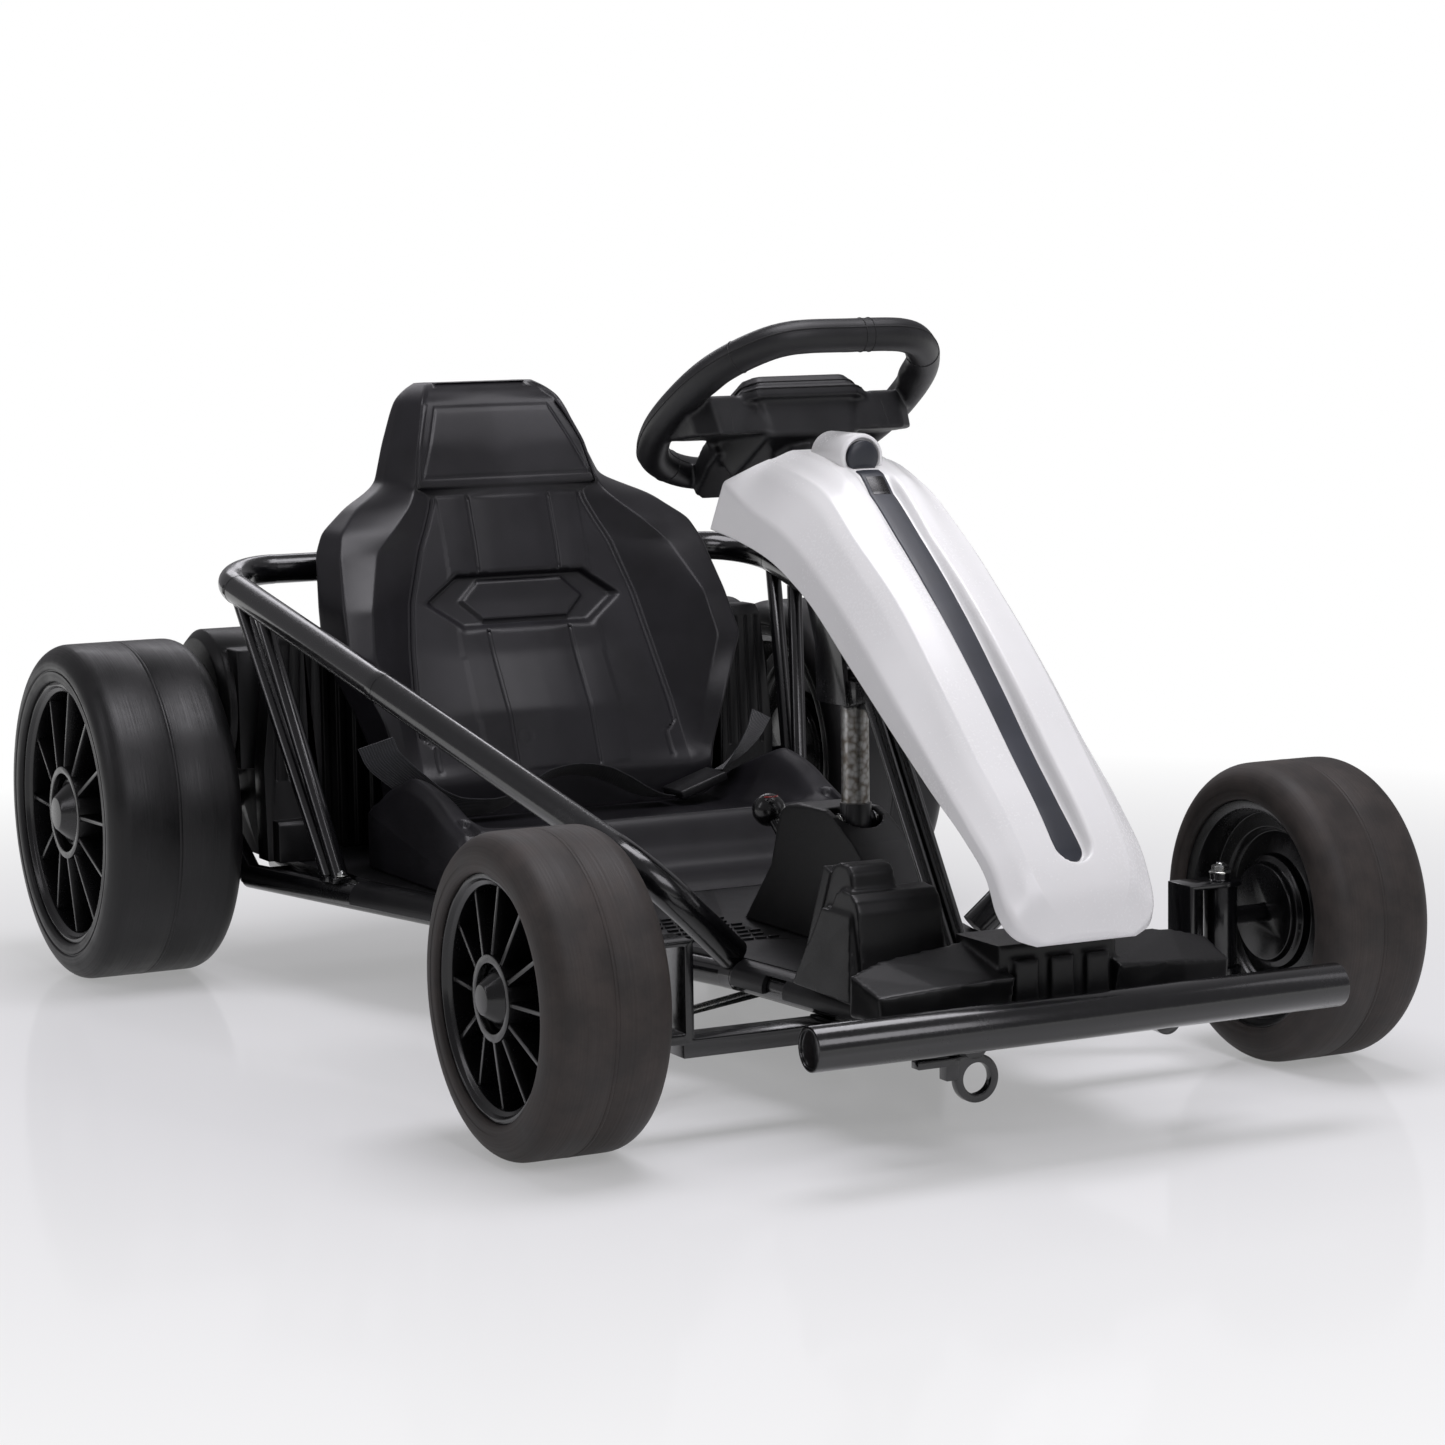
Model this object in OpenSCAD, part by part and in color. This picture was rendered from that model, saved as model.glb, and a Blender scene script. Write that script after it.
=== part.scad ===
// Electric drift kart: tube frame, bucket seat, steering column, four slick wheels.
// Axle frame: X forward from the front axle, Y left, Z up from the ground, mm.

/* [Wheels] */
// distance between the axles
wheelbase = 949; // [900:1:1000]
// front tyre radius
front_r = 135; // [128:0.5:142]
// front tyre width
front_w = 110; // [100:1:120]
// centre plane of a front wheel from the middle
front_track = 371.5; // [365:0.5:385]
// height of the front tyre over its rim
front_tyre_h = 33; // [29:0.5:37]
// rear tyre radius
rear_r = 170.5; // [165:0.5:178]
// rear tyre width
rear_w = 140; // [130:1:150]
// centre plane of a rear wheel from the middle
rear_track = 405; // [400:0.5:420]
// height of the rear tyre over its rim
rear_tyre_h = 37.5; // [33:0.5:41]
// spokes in each rim
spokes = 12; // [8:1:16]

/* [Frame tubes] */
// lower rail tube
rail_d = 25; // [22:0.5:28]
// height of the lower rails
rail_z = 100; // [95:1:106]
// rail half distance at the bumper
rail_y_front = 92; // [85:1:100]
// rail half distance at the weld joint
rail_y_mid = 122; // [115:1:130]
// rail half distance at the rear
rail_y_rear = 296; // [285:1:300]
// weld joint position behind the front axle
joint_x = -146; // [-160:1:-135]
// rail end behind the front axle
rail_x_rear = -880; // [-895:1:-865]
// bumper tube
bumper_d = 37; // [34:0.5:40]
// bumper position ahead of the front axle
bumper_x = 226; // [218:1:235]
// bumper height
bumper_z = 115.5; // [110:0.5:120]
// bumper half length
bumper_half = 252; // [240:1:265]
// side hoop tube
hoop_d = 30; // [27:0.5:32]
// hoop half width at the rear
hoop_y = 310; // [305:1:316]
// hoop height at the rear
hoop_z = 408; // [398:1:418]
// hoop rear run position
hoop_x = -930; // [-940:1:-915]
// thin strut tube
strut_d = 16; // [14:0.5:18]

/* [Steering] */
// steering wheel axis tilt from upright
column_tilt = 30; // [28:0.5:32]
// height of the joint between the two shafts
joint_z = 381; // [375:1:387]
// steering wheel plane above the joint along the axis
wheel_up = 241; // [236:1:246]
// steering wheel rim tube
ring_d = 27; // [24:0.5:30]
// shaft tube
shaft_d = 25; // [22:0.5:26]
// kingpin distance inside the wheel's centre plane
kingpin_in = 81.5; // [78:0.5:86]
// steering arm length behind the kingpin
arm_len = 70; // [64:1:76]

/* [Body] */
// floor plate thickness
pan_t = 5; // [4:0.5:6]
// wall of the column cover
cover_t = 3.5; // [3:0.25:4.5]
// width of the dark stripe
stripe_w = 23; // [20:0.5:26]
// seat back panel recess depth
recess_depth = 6; // [4:0.5:8]
// ribs on each motor cover
ribs = 4; // [3:1:6]

/* [Hidden] */
front_rim_r = front_r - front_tyre_h;
rear_rim_r = rear_r - rear_tyre_h;
kingpin_y = front_track - kingpin_in;
gap = 0.3;
$fn = 48;
x_shift = (wheelbase + rear_r - bumper_x - bumper_d / 2) / 2;
rail_top = rail_z + rail_d / 2;
base_z = rail_top + gap + pan_t + gap;
axle_d = 16;
bore_r = axle_d / 2 + 0.05;
axle_end_y = 311;
shaft_x = -145;
crank_z = 83;
pin_d = 8;
pan_half_rear = 262;

// straight rod between two points
module rod(a, b, d) {
  v = b - a;
  l = norm(v);
  translate(a)
    rotate([0, acos(v[2] / l), atan2(v[1], v[0])])
      cylinder(d = d, h = l);
}

// bent rod through points with one bend radius
function unit(v) = v / norm(v);
function turn(a, b, c) = acos(max(-1, min(1, unit(b - a) * unit(c - b))));
function setback(p, i, r) =
  i <= 0 || i >= len(p) - 1 ? 0 : r * tan(turn(p[i - 1], p[i], p[i + 1]) / 2);

module elbow(a, b, c, r, d) {
  u = unit(b - a);
  v = unit(c - b);
  t = turn(a, b, c);
  n = unit(cross(u, v));
  s = b - u * r * tan(t / 2);
  x = -unit(v - u * (u * v));
  m = s - x * r;
  multmatrix([[x[0], u[0], n[0], m[0]], [x[1], u[1], n[1], m[1]],
      [x[2], u[2], n[2], m[2]], [0, 0, 0, 1]])
    rotate_extrude(angle = t)
      translate([r, 0])
        circle(d = d + 0.6);
}

module bent(p, r, d) {
  for (i = [0 : len(p) - 2]) {
    u = unit(p[i + 1] - p[i]);
    s = setback(p, i, r);
    e = setback(p, i + 1, r);
    rod(p[i] + u * (s > 0 ? s - 1.5 : 0), p[i + 1] - u * (e > 0 ? e - 1.5 : 0), d);
  }
  for (i = [1 : 1 : len(p) - 2])
    if (turn(p[i - 1], p[i], p[i + 1]) > 0.5)
      elbow(p[i - 1], p[i], p[i + 1], r, d);
}

// place children on both sides
module both_sides() {
  children();
  mirror([0, 1, 0]) children();
}

module put() {
  translate([x_shift, 0, 0]) children();
}

// wheel placed with its outer side outward, side 1 is left
module at_wheel(x, y, z, side) {
  translate([x, side * y, z])
    rotate([side * -90, 0, 0])
      children();
}

// box from corner to corner
module blk(a, b) {
  translate(a) cube(b - a);
}

// closed skin through rings that hold the same number of points
module skin(rings) {
  n = len(rings[0]);
  m = len(rings);
  side = [for (k = [0 : m - 2]) for (i = [0 : n - 1]) each
    [[k * n + i, (k + 1) * n + (i + 1) % n, k * n + (i + 1) % n],
     [k * n + i, (k + 1) * n + i, (k + 1) * n + (i + 1) % n]]];
  polyhedron([for (r = rings) each r],
    concat([[for (i = [0 : n - 1]) i]], [[for (i = [n - 1 : -1 : 0]) (m - 1) * n + i]], side));
}

// rows of a table with one smooth row added between each two
function between(t, i) = (9 * (t[i] + t[i + 1])
  - t[max(i - 1, 0)] - t[min(i + 2, len(t) - 1)]) / 16;
function smooth(t) = [for (i = [0 : len(t) - 2]) each [t[i], between(t, i)], t[len(t) - 1]];
function mirrored(p) = concat(p, [for (i = [len(p) - 1 : -1 : 0]) [p[i][0], -p[i][1], p[i][2]]]);
function flip(v) = [v[0], -v[1], v[2]];

// plate standing lengthwise with an outline in x and z between two y values
module side_plate(outline, y0, y1) {
  translate([0, y1, 0]) rotate([90, 0, 0]) linear_extrude(y1 - y0) polygon(outline);
}

rail_f = [bumper_x - bumper_d / 2 + 4, -rail_y_front, rail_z];
rail_m = [joint_x, -rail_y_mid, rail_z];
rail_r = [rail_x_rear, -rail_y_rear, rail_z];
function rail_y(x) = x > joint_x
  ? rail_y_mid + (rail_y_front - rail_y_mid) * (x - joint_x) / (rail_f[0] - joint_x)
  : rail_y_mid + (rail_y_rear - rail_y_mid) * (x - joint_x) / (rail_x_rear - joint_x);

module lower_frame() {
  color("#15161a") put() {
    both_sides() {
      difference() {
        bent([rail_f, rail_m, rail_r], 120, rail_d);
        rod([bumper_x, -bumper_half, bumper_z], [bumper_x, bumper_half, bumper_z],
          bumper_d + 2 * gap);
      }
      rod([joint_x - 4, -rail_y_mid + 4, rail_z], [-860, -rail_y_mid + 4, rail_z], rail_d - 3);
      difference() {
        rod(rail_r, [-wheelbase, -axle_end_y, rear_r], 24);
        rod([-wheelbase, -400, rear_r], [-wheelbase, 400, rear_r], axle_d + 2 * gap);
      }
    }
    for (x = [-60, -420, -860])
      rod([x, -rail_y(x) + 2, rail_z], [x, rail_y(x) - 2, rail_z], rail_d - 4);
  }
}

plate_z = 164;
module front_beam() {
  color("#15161a") put() {
    blk([-18, -kingpin_y + 34, 70], [18, kingpin_y - 34, 86 - gap]);
    both_sides() {
      for (z = [[82, 91], [plate_z + gap, plate_z + 5]])
        translate([0, 0, z[0]]) linear_extrude(z[1] - z[0]) {
          translate([0, -kingpin_y]) circle(r = 19);
          translate([-18, -kingpin_y]) square([36, 44]);
        }
      blk([-18, -kingpin_y + 36, 80], [18, -kingpin_y + 44, plate_z + 5]);
      translate([0, -kingpin_y, plate_z + 4]) cylinder(r = 9, h = 7);
      blk([-18, -rail_y(0) - 8, 84], [18, -rail_y(0) + 8, rail_z - rail_d / 2 - gap]);
    }
  }
}

module front_bumper() {
  color("#101114") put() {
    difference() {
      rod([bumper_x, -bumper_half, bumper_z], [bumper_x, bumper_half, bumper_z], bumper_d);
      for (s = [-1, 1]) translate([bumper_x, s * bumper_half, bumper_z]) rotate([90, 0, 0])
        cylinder(r = bumper_d / 2 - 3, h = 6, center = true);
    }
  }
}

hoop_low = [joint_x, -rail_y_mid - 2, rail_top + 6];
hoop_bend = [joint_x + 18, -212, 200];
hoop_side = [-540, -288, 326];
hoop_rear = [hoop_x, -hoop_y, hoop_z];

hoop_path = [hoop_low, hoop_bend, hoop_side, hoop_rear, flip(hoop_rear), flip(hoop_side),
  flip(hoop_bend), flip(hoop_low)];

module side_hoop() {
  color("#131417") put() {
    difference() {
      bent(hoop_path, 62, hoop_d);
      both_sides() rod(rail_f, rail_m, rail_d + 2 * gap);
      both_sides() rod(rail_m, rail_r, rail_d + 2 * gap);
    }
  }
}

// two thin struts on each side on one foot plate, cut to the hoop above
strut_foot = [-735, -262, rail_top + gap];
module strut_pair() {
  difference() {
    union() {
      rod(strut_foot + [-10, -2, 3], [-866, -305, 385], strut_d);
      rod(strut_foot + [10, 2, 3], [-812, -302, 373], strut_d);
      translate(strut_foot) linear_extrude(pan_t) {
        circle(r = 13);
        translate([-20, -10]) square([40, 20]);
      }
    }
    rod(hoop_side + unit(hoop_side - hoop_rear) * 60, hoop_rear + unit(hoop_rear - hoop_side) * 60,
      hoop_d + 2 * gap);
    blk([-800, -300, 80], [-700, -220, rail_top + gap]);
  }
}
module strut_pair_right() { color("#131417") put() strut_pair(); }
module strut_pair_left() { color("#131417") put() mirror([0, 1, 0]) strut_pair(); }

// steering axis frame: origin at the joint, z up the column, x forward
axis_base = [shaft_x, 0, joint_z];
module on_column(h) {
  translate(axis_base)
    rotate([0, -column_tilt, 0])
      translate([0, 0, h])
        children();
}

leg_top = [-112, 7, 352];
leg_foot = [41.6, 7, base_z - 4];
module column_legs() {
  color("#15161a") put() {
    difference() {
      union() {
        both_sides() rod(leg_foot, leg_top + [-3.3, 0, 5], 13);
        translate([shaft_x, 0, 332]) cylinder(r = 20, h = 26);
        blk([shaft_x, -22, 336], [-104, 22, 356]);
        both_sides() side_plate([[-166, 334], [-112, 334], [-124, 400], [-158, 476], [-200, 472],
          [-186, 430], [-168, 385]], 22, 27);
        on_column(62) translate([-14, -22.5, 0]) cube([28, 45, 30]);
        on_column(56) cylinder(r = 19, h = 42);
      }
      on_column(40) cylinder(d = shaft_d + 0.1, h = 80);
      translate([shaft_x, 0, 320]) cylinder(d = shaft_d + 0.1, h = 44);
      blk([0, -60, base_z - 30], [100, 60, base_z]);
    }
    blk([20, -30, base_z], [62, 30, base_z + 5]);
  }
}

module rear_axle() {
  color("#2a2b2e") put() {
    rod([-wheelbase, -rear_track + 2, rear_r], [-wheelbase, rear_track - 2, rear_r], axle_d);
  }
}

// floor plate with moulded sleeves round the rails and raised grip marks
module floor_pan() {
  color("#1b1c1f") put() {
    difference() {
      union() {
        translate([0, 0, rail_top + gap])
          linear_extrude(pan_t)
            polygon([[196, -86], [joint_x, -rail_y_mid], [-770, -pan_half_rear],
              [-1006, -pan_half_rear], [-1006, pan_half_rear], [-770, pan_half_rear],
              [joint_x, rail_y_mid], [196, 86]]);
        both_sides() difference() {
          union() {
            rod([-128, -rail_y(-128), rail_z], [84, -rail_y(84), rail_z], 34);
            rod([-690, -rail_y(-690), rail_z], [-560, -rail_y(-560), rail_z], 34);
          }
          rod(rail_f, rail_m, rail_d + 2 * gap);
          rod(rail_m, rail_r, rail_d + 2 * gap);
          blk([-900, -400, 60], [200, 0, rail_z - 4]);
          blk([-76, -200, 60], [-44, 0, rail_top - 0.6]);
        }
      }
      translate([shaft_x, 0, 100]) cylinder(r = shaft_d / 2 + 6, h = 40);
      both_sides() rod(hoop_low, hoop_bend, hoop_d + 3);
      both_sides() blk([-200, -rail_y_mid - 30, 80], [joint_x + 2, -rail_y_mid - 14, 140]);
      both_sides() blk([strut_foot[0] - 22, -300, 100], [strut_foot[0] + 22, -246, 140]);
    }
    for (i = [0 : 7], j = [0 : 5]) {
      x = -205 - 18 * i;
      y = 52 + 13 * j + (i % 2) * 6.5;
      if (y < rail_y(x) - 14)
        both_sides() blk([x - 1.6, y - 5, base_z - 2 * gap - 1], [x + 1.6, y + 5, base_z + 1.6]);
    }
  }
}

// low faceted nose: two wings and a middle block
module nose_panel() {
  color("#18191c") put() {
    both_sides() skin([
      [[190, -166, base_z], [146, -171, base_z], [148, -172, 153], [190, -168, 140]],
      [[196, -120, base_z], [138, -140, base_z], [142, -140, 161], [199, -116, 145]],
      [[196, -50, base_z], [128, -50, base_z], [130, -50, 168], [205, -50, 149]]]);
    blk([120, -56, base_z], [190, 56, 172]);
    for (y = [-34, 0, 34]) blk([188, y - 11, base_z], [198, y + 11, 160]);
  }
}

hook_r = 13;
hook = [190, -80, 67];
module tow_hook() {
  color("#15161a") put() {
    translate(hook) rotate([0, 90, 0]) difference() {
      union() {
        cylinder(r = hook_r + 7, h = 8, center = true);
        translate([-20, -24, -4]) cube([12, 30, 8]);
      }
      cylinder(r = hook_r, h = 12, center = true);
    }
    translate([hook[0], 0, 0]) {
      blk([-6, -136, 80], [6, -98, 87]);
      blk([-6, -110, 68], [6, -98, 84]);
    }
  }
}

// column cover: stations along the slope, for the right side
// columns: top edge x y z, crease x y z, lower edge x y z
cover_rows = [
  [-205, 56, 546, -222, 88, 528, -245, 90, 484],
  [-173, 60, 542, -185, 84, 507, -200, 86, 476],
  [-110, 55, 525, -130, 80, 488, -150, 84, 464],
  [-43, 57, 483, -70, 78, 455, -88, 82, 436],
  [21, 55, 437, -5, 77, 409, -22, 80, 389],
  [88, 56, 378, 66, 77, 354, 52, 80, 338],
  [148, 55, 319, 134, 76, 302, 122, 79, 290],
  [187, 53, 281, 176, 74, 268, 168, 77, 259],
  [215, 52, 246, 210, 71, 233, 203, 74, 223],
  [233, 51, 214, 229, 69, 205, 220, 72, 194],
  [238, 49, 186, 235, 63, 184, 230, 66, 183]];
function crown(x) = lookup(x, [[-205, 10], [-110, 11], [-43, 4], [21, 2.5], [240, 1.5]]);
function cover_ring(r, t) =
  let (n = unit([r[0] - r[6], r[2] - r[8]]),
    e = [r[0] - n[0] * t, -r[1] + t * 0.8, r[2] - n[1] * t],
    c = [r[3] - n[0] * t * 0.4, -r[4] + t, r[5] - n[1] * t * 0.4],
    l = [r[6] - n[0] * t * 5, -r[7] + t, r[8] - n[1] * t * 5])
  mirrored([l, c, e * 0.8 + c * 0.2, [e[0], e[1] + 4, e[2]] + [n[0], 0, n[1]],
    [e[0], e[1] + 26, e[2]] + [n[0], 0, n[1]] * crown(r[0])]);

// middle line of the dark stripe in x and z, from the top down
stripe_line = [[-112, 538], [-94, 521], [-40, 480], [16, 434], [69, 384], [121, 331],
  [173, 281], [203, 251]];
stripe_end = len(stripe_line) - 1;
function line_n(i) =
  let (d = unit(stripe_line[min(i + 1, stripe_end)] - stripe_line[max(i - 1, 0)])) [-d[1], d[0]];
function band(a, b) = concat([for (i = [0 : stripe_end]) stripe_line[i] + line_n(i) * b],
  [for (i = [stripe_end : -1 : 0]) stripe_line[i] + line_n(i) * a]);
module on_stripe_end(h) {
  translate([stripe_line[stripe_end][0], 0, stripe_line[stripe_end][1]])
    rotate([0, 90 - atan2(line_n(stripe_end)[1], line_n(stripe_end)[0]), 0])
      translate([0, 0, h]) children();
}

module column_cover() {
  rows = smooth(cover_rows);
  groove = stripe_w + 14;
  color("#eceef0") put() {
    difference() {
      union() {
        difference() {
          skin([for (i = [len(rows) - 1 : -1 : 0]) cover_ring(rows[i], 0)]);
          skin(concat([for (i = [len(rows) - 3 : -1 : 0]) cover_ring(rows[i], cover_t)],
            [cover_ring(cover_rows[0] + [-30, 4, 6, -30, 4, 6, -30, 4, 6], cover_t)]));
        }
        side_plate(band(-7, 2), -groove / 2 - 3, groove / 2 + 3);
        on_stripe_end(-7) cylinder(r = groove / 2 + 2.6, h = 9);
        rod([-184, 0, 550], [-126, 0, 550], 42);
      }
      side_plate(band(-3 - gap, 30), -groove / 2, groove / 2);
      on_stripe_end(-3 - gap) cylinder(r = groove / 2 - 0.2, h = 40);
      rod([-129, 0, 550], [-60, 0, 550], 33);
    }
  }
}

module column_insert() {
  color("#2c303a") put() {
    side_plate(band(-3, 0), -stripe_w / 2, stripe_w / 2);
    on_stripe_end(-3) cylinder(r = stripe_w / 2 - 0.2, h = 3);
    rod([-129 + gap, 0, 550], [-111, 0, 550], 32);
  }
}

module steering_box() {
  color("#1b1c1f") put() {
    difference() {
      side_plate([[-305, base_z], [-252, 176], [-238, 216], [-231, 228], [-219, 235], [-203, 238],
        [-152, 238], [-136, 233], [-101, 214], [-55, 178], [16, base_z]], -29, 29);
      translate([shaft_x, 0, 90]) cylinder(r = shaft_d / 2 + 6, h = 200);
      translate([shaft_x, 0, 214]) intersection() {
        cylinder(r = 24, h = 60);
        blk([-16, -22, 0], [40, 22, 60]);
      }
      both_sides() rod([-262, -31, 232], [-128, -31, 247], 9);
    }
  }
}

// ball lever behind the box, ending on the box's rear slope
module shift_lever() {
  color("#1b1c1f") put() {
    difference() {
      union() {
        rod([-309, 0, 214], [-255, 0, 174], 9);
        translate([-309, 0, 216]) sphere(r = 15.5);
      }
      side_plate([[-305 - gap * 1.5, base_z], [-252 - gap * 1.3, 176], [-238 - gap * 1.1, 216],
        [-238, 260], [-200, 260], [-200, base_z]], -20, 20);
    }
  }
}

module pedal_housing() {
  color("#1b1c1f") put() {
    side_plate([[14, base_z], [58, 196], [64, 205], [74, 209], [90, 207], [98, 201], [102, 192],
      [110, base_z]], -137, -57);
    side_plate([[0, base_z], [44, 218], [50, 226], [60, 229], [74, 228], [80, 222], [84, 200],
      [88, base_z]], -131, -90);
    skin([
      [[-6, -142, base_z], [104, -147, base_z], [104, -130, base_z], [-6, -128, base_z]],
      [[42, -139, 190], [92, -139, 190], [92, -130, 190], [42, -128, 190]]]);
  }
}

// foot plate behind the housing, leaning on its rear slope
module throttle_pedal() {
  color("#1b1c1f") put() {
    difference() {
      side_plate([[-18 - gap, base_z], [-6 - gap, base_z], [40 - gap, 218], [26, 222]], -128, -92);
      side_plate([[-gap, base_z - 1], [44 - gap, 218], [50, 240], [80, 240], [80, base_z - 1]],
        -150, -80);
      for (z = [136 : 14 : 206])
        translate([-18 + (z - base_z) * 0.43, -110, z]) cube([6, 30, 3], center = true);
    }
  }
}

// seat back sections from the pan up
// columns: z, panel half width, panel x, inner ridge half width, x,
// outer ridge half width, x, side half width, x, back x
back_rows = [
  [base_z, 148, -760.3, 160, -760.3, 166, -760.3, 176, -800, -835],
  [198, 150, -760.3, 165, -760.3, 175, -760.3, 185, -800, -838],
  [212, 150, -772, 166, -767, 177, -763, 187, -801, -842],
  [262, 147, -798, 172, -775, 192, -765, 205, -810, -868],
  [327, 138, -829, 194, -782, 221, -783, 232, -830, -890],
  [372, 130, -847, 188, -800, 216, -808, 228, -850, -902],
  [425, 112, -864, 165, -840, 206, -840, 218, -880, -910],
  [446, 101, -873, 143, -850, 198, -856, 208, -888, -912],
  [470, 90, -883, 116, -868, 168, -884, 176, -902, -926],
  [484, 88, -887, 106, -880, 138, -905, 144, -920, -938],
  [492, 90, -889, 103, -880, 124, -918, 129, -936, -948],
  [530, 84, -903, 95, -894, 110, -932, 114, -950, -962],
  [569, 72, -922, 80, -914, 94, -946, 97, -958, -980],
  [584, 66, -936, 72, -932, 80, -952, 83, -962, -982],
  [592, 50, -950, 54, -950, 62, -958, 64, -964, -980]];
function middle_x(z) = lookup(z, [[118, -760.3], [198, -760.3], [210, -764], [261, -781],
  [319, -821], [372, -848], [430, -864], [478, -881], [523, -899], [568, -922], [592, -950]]);
function back_ring(r) = mirrored([
  [r[9], -r[7] * 0.72, r[0]], [r[8] * 0.45 + r[9] * 0.55, -r[7] * 0.9, r[0]], [r[8], -r[7], r[0]],
  [r[6], -r[5], r[0]], [r[4], -r[3], r[0]], [r[2], -r[1], r[0]],
  [middle_x(r[0]) * 0.7 + r[2] * 0.3, -r[1] * 0.45, r[0]]]);

// six-sided outline in y and height, half width w and half height h
function hexagon(w, f, h) = [[-w, 0], [-f, h], [f, h], [w, 0], [f, -h], [-f, -h]];
module on_back(z) {
  translate([middle_x(z) + 1, 0, z]) rotate([0, -17, 0]) rotate([90, 0, 90]) children();
}

module seat_back() {
  color("#18191c") put() {
    difference() {
      skin([for (r = back_rows) back_ring(r)]);
      difference() {
        on_back(370) translate([0, 0, -recess_depth])
          linear_extrude(40) polygon(hexagon(113, 72, 30));
        on_back(370) translate([0, 0, -20])
          linear_extrude(17) polygon(hexagon(70, 48, 21));
      }
      for (y = [-46, 46])
        side_plate([[-757, 204], [-778, 261], [-817, 319], [-844, 372], [-861, 430], [-874, 476],
          [-884, 476], [-868, 430], [-852, 372], [-824, 319], [-785, 263], [-765, 204]],
          y - 1.1, y + 1.1);
      translate([-904, 0, 530]) rotate([0, -26, 0]) rotate([90, 0, 90])
        linear_extrude(40) polygon([[-82, -36], [-66, 38], [66, 38], [82, -36]]);
    }
  }
}

// seat tub: heights of its upper surface at stations across
// columns: half width, z at the rear, five stations forward, at the lip, foot x
tub_x = [-760 + gap, -745, -715, -690, -660, -625, -600, -575, -550, -536];
tub_rows = [
  [0, 160, 160, 160, 160, 160, 161, 164, 170, 180, 182, 118],
  [110, 160, 160, 160, 160, 160, 161, 164, 171, 180, 182, 118],
  [158, 163, 163, 163, 164, 165, 166, 168, 173, 181, 182, 118],
  [176, 172, 173, 176, 180, 184, 184, 182, 180, 182, 182, 118],
  [192, 184, 189, 200, 208, 214, 209, 203, 193, 186, 182, 118],
  [207, 181, 187, 202, 210, 219, 214, 207, 196, 186, 181, 118],
  [216, 172, 178, 190, 199, 206, 202, 195, 186, 177, 172, 118]];
function tub_ring(r, side) = concat(
  [for (i = [0 : 9]) [tub_x[i], side * r[0], r[i + 1]]],
  [[-512, side * r[0], 152], [-498, side * r[0], 136], [-470, side * r[0], 126],
   [-458, side * r[0], base_z], [-760 + gap, side * r[0], base_z]]);
module seat_base() {
  color("#18191c") put() {
    difference() {
      skin(concat([for (i = [6 : -1 : 1]) tub_ring(tub_rows[i], -1)],
        [for (i = [0 : 6]) tub_ring(tub_rows[i], 1)]));
      both_sides() translate([-548, -198, 176]) rotate([0, 30, 0])
        linear_extrude(30) {
          translate([-7, 0]) circle(r = 5.5);
          translate([-7, -5.5]) square([14, 11]);
          translate([7, 0]) circle(r = 5.5);
        }
    }
  }
}

// ribbed cover ahead of each drive housing
module motor_cover() {
  difference() {
    union() {
      translate([-874, 0, 0]) rotate([90, 0, 90]) linear_extrude(28)
        polygon([[228, base_z], [290, base_z], [292, 215], [278, 340], [272, 350], [234, 350],
          [228, 342]]);
      side_plate([[-846, base_z], [-830, base_z], [-830, 156], [-834, 160], [-846, 160]], 230, 284);
    }
    for (i = [0 : ribs - 1])
      translate([-848, 0, 0]) rotate([90, 0, 90]) linear_extrude(4)
        polygon([[238 + i * 13, 200], [241 + i * 13, 200], [238 + i * 11.6, 338],
          [235 + i * 11.6, 338]]);
  }
}
module motor_cover_right() { color("#1b1c1f") put() mirror([0, 1, 0]) motor_cover(); }
module motor_cover_left() { color("#1b1c1f") put() motor_cover(); }

motor_y = rear_track - rear_w / 2 - 19;
drum_r = 78;
drum = [-972, 268];
module motor_housing() {
  difference() {
    union() {
      translate([drum[0], motor_y, drum[1]]) rotate([90, 0, 0]) {
        cylinder(r = drum_r - 8, h = 76);
        translate([0, 0, 8]) cylinder(r = drum_r, h = 68);
        cylinder(r1 = drum_r - 8, r2 = drum_r, h = 8);
      }
      blk([-1040, motor_y - 76, base_z], [-893, motor_y - 34, drum[1]]);
      blk([-930, motor_y - 76, drum[1] - 60], [-893, motor_y - 16, 330]);
    }
    rod([-wheelbase, -400, rear_r], [-wheelbase, 400, rear_r], axle_d + 2 * gap);
  }
}
module motor_housing_right() { color("#1b1c1f") put() mirror([0, 1, 0]) motor_housing(); }
module motor_housing_left() { color("#1b1c1f") put() motor_housing(); }

module battery_block() {
  color("#1b1c1f") put() {
    difference() {
      blk([-wheelbase - 61, -150, base_z], [-wheelbase + 34, 150, 300]);
      rod([-wheelbase, -400, rear_r], [-wheelbase, 400, rear_r], axle_d + 2 * gap);
    }
  }
}

// lap belts: webbing path in y and z, then its width along x
belt_t = 2.4;
function belt_band(p) = concat([for (i = [0 : len(p) - 1]) p[i] + [0, belt_t]],
  [for (i = [len(p) - 1 : -1 : 0]) p[i]]);
module belt(p) {
  translate([-750, 0, 0]) rotate([90, 0, 90]) linear_extrude(38) polygon(belt_band(p));
}
module lap_belt_right() {
  color("#26262a") put() belt([[-215, 238], [-208, 222], [-194, 208], [-176, 190], [-156, 172],
    [-128, 162], [-100, 160.3], [-74, 168], [-56, 186], [-34, 200], [-6, 206], [24, 203],
    [50, 190], [70, 172], [86, 163], [100, 162.5], [106, 164]]);
}
module lap_belt_left() {
  color("#26262a") put() belt([[215, 238], [208, 222], [196, 209], [184, 198], [172, 190], [168, 186]]);
}
module belt_buckle() {
  color("#1b1c1f") put() {
    translate([-752, 113, 166]) rotate([18, 0, 0]) cube([44, 56, 10]);
  }
}

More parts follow.
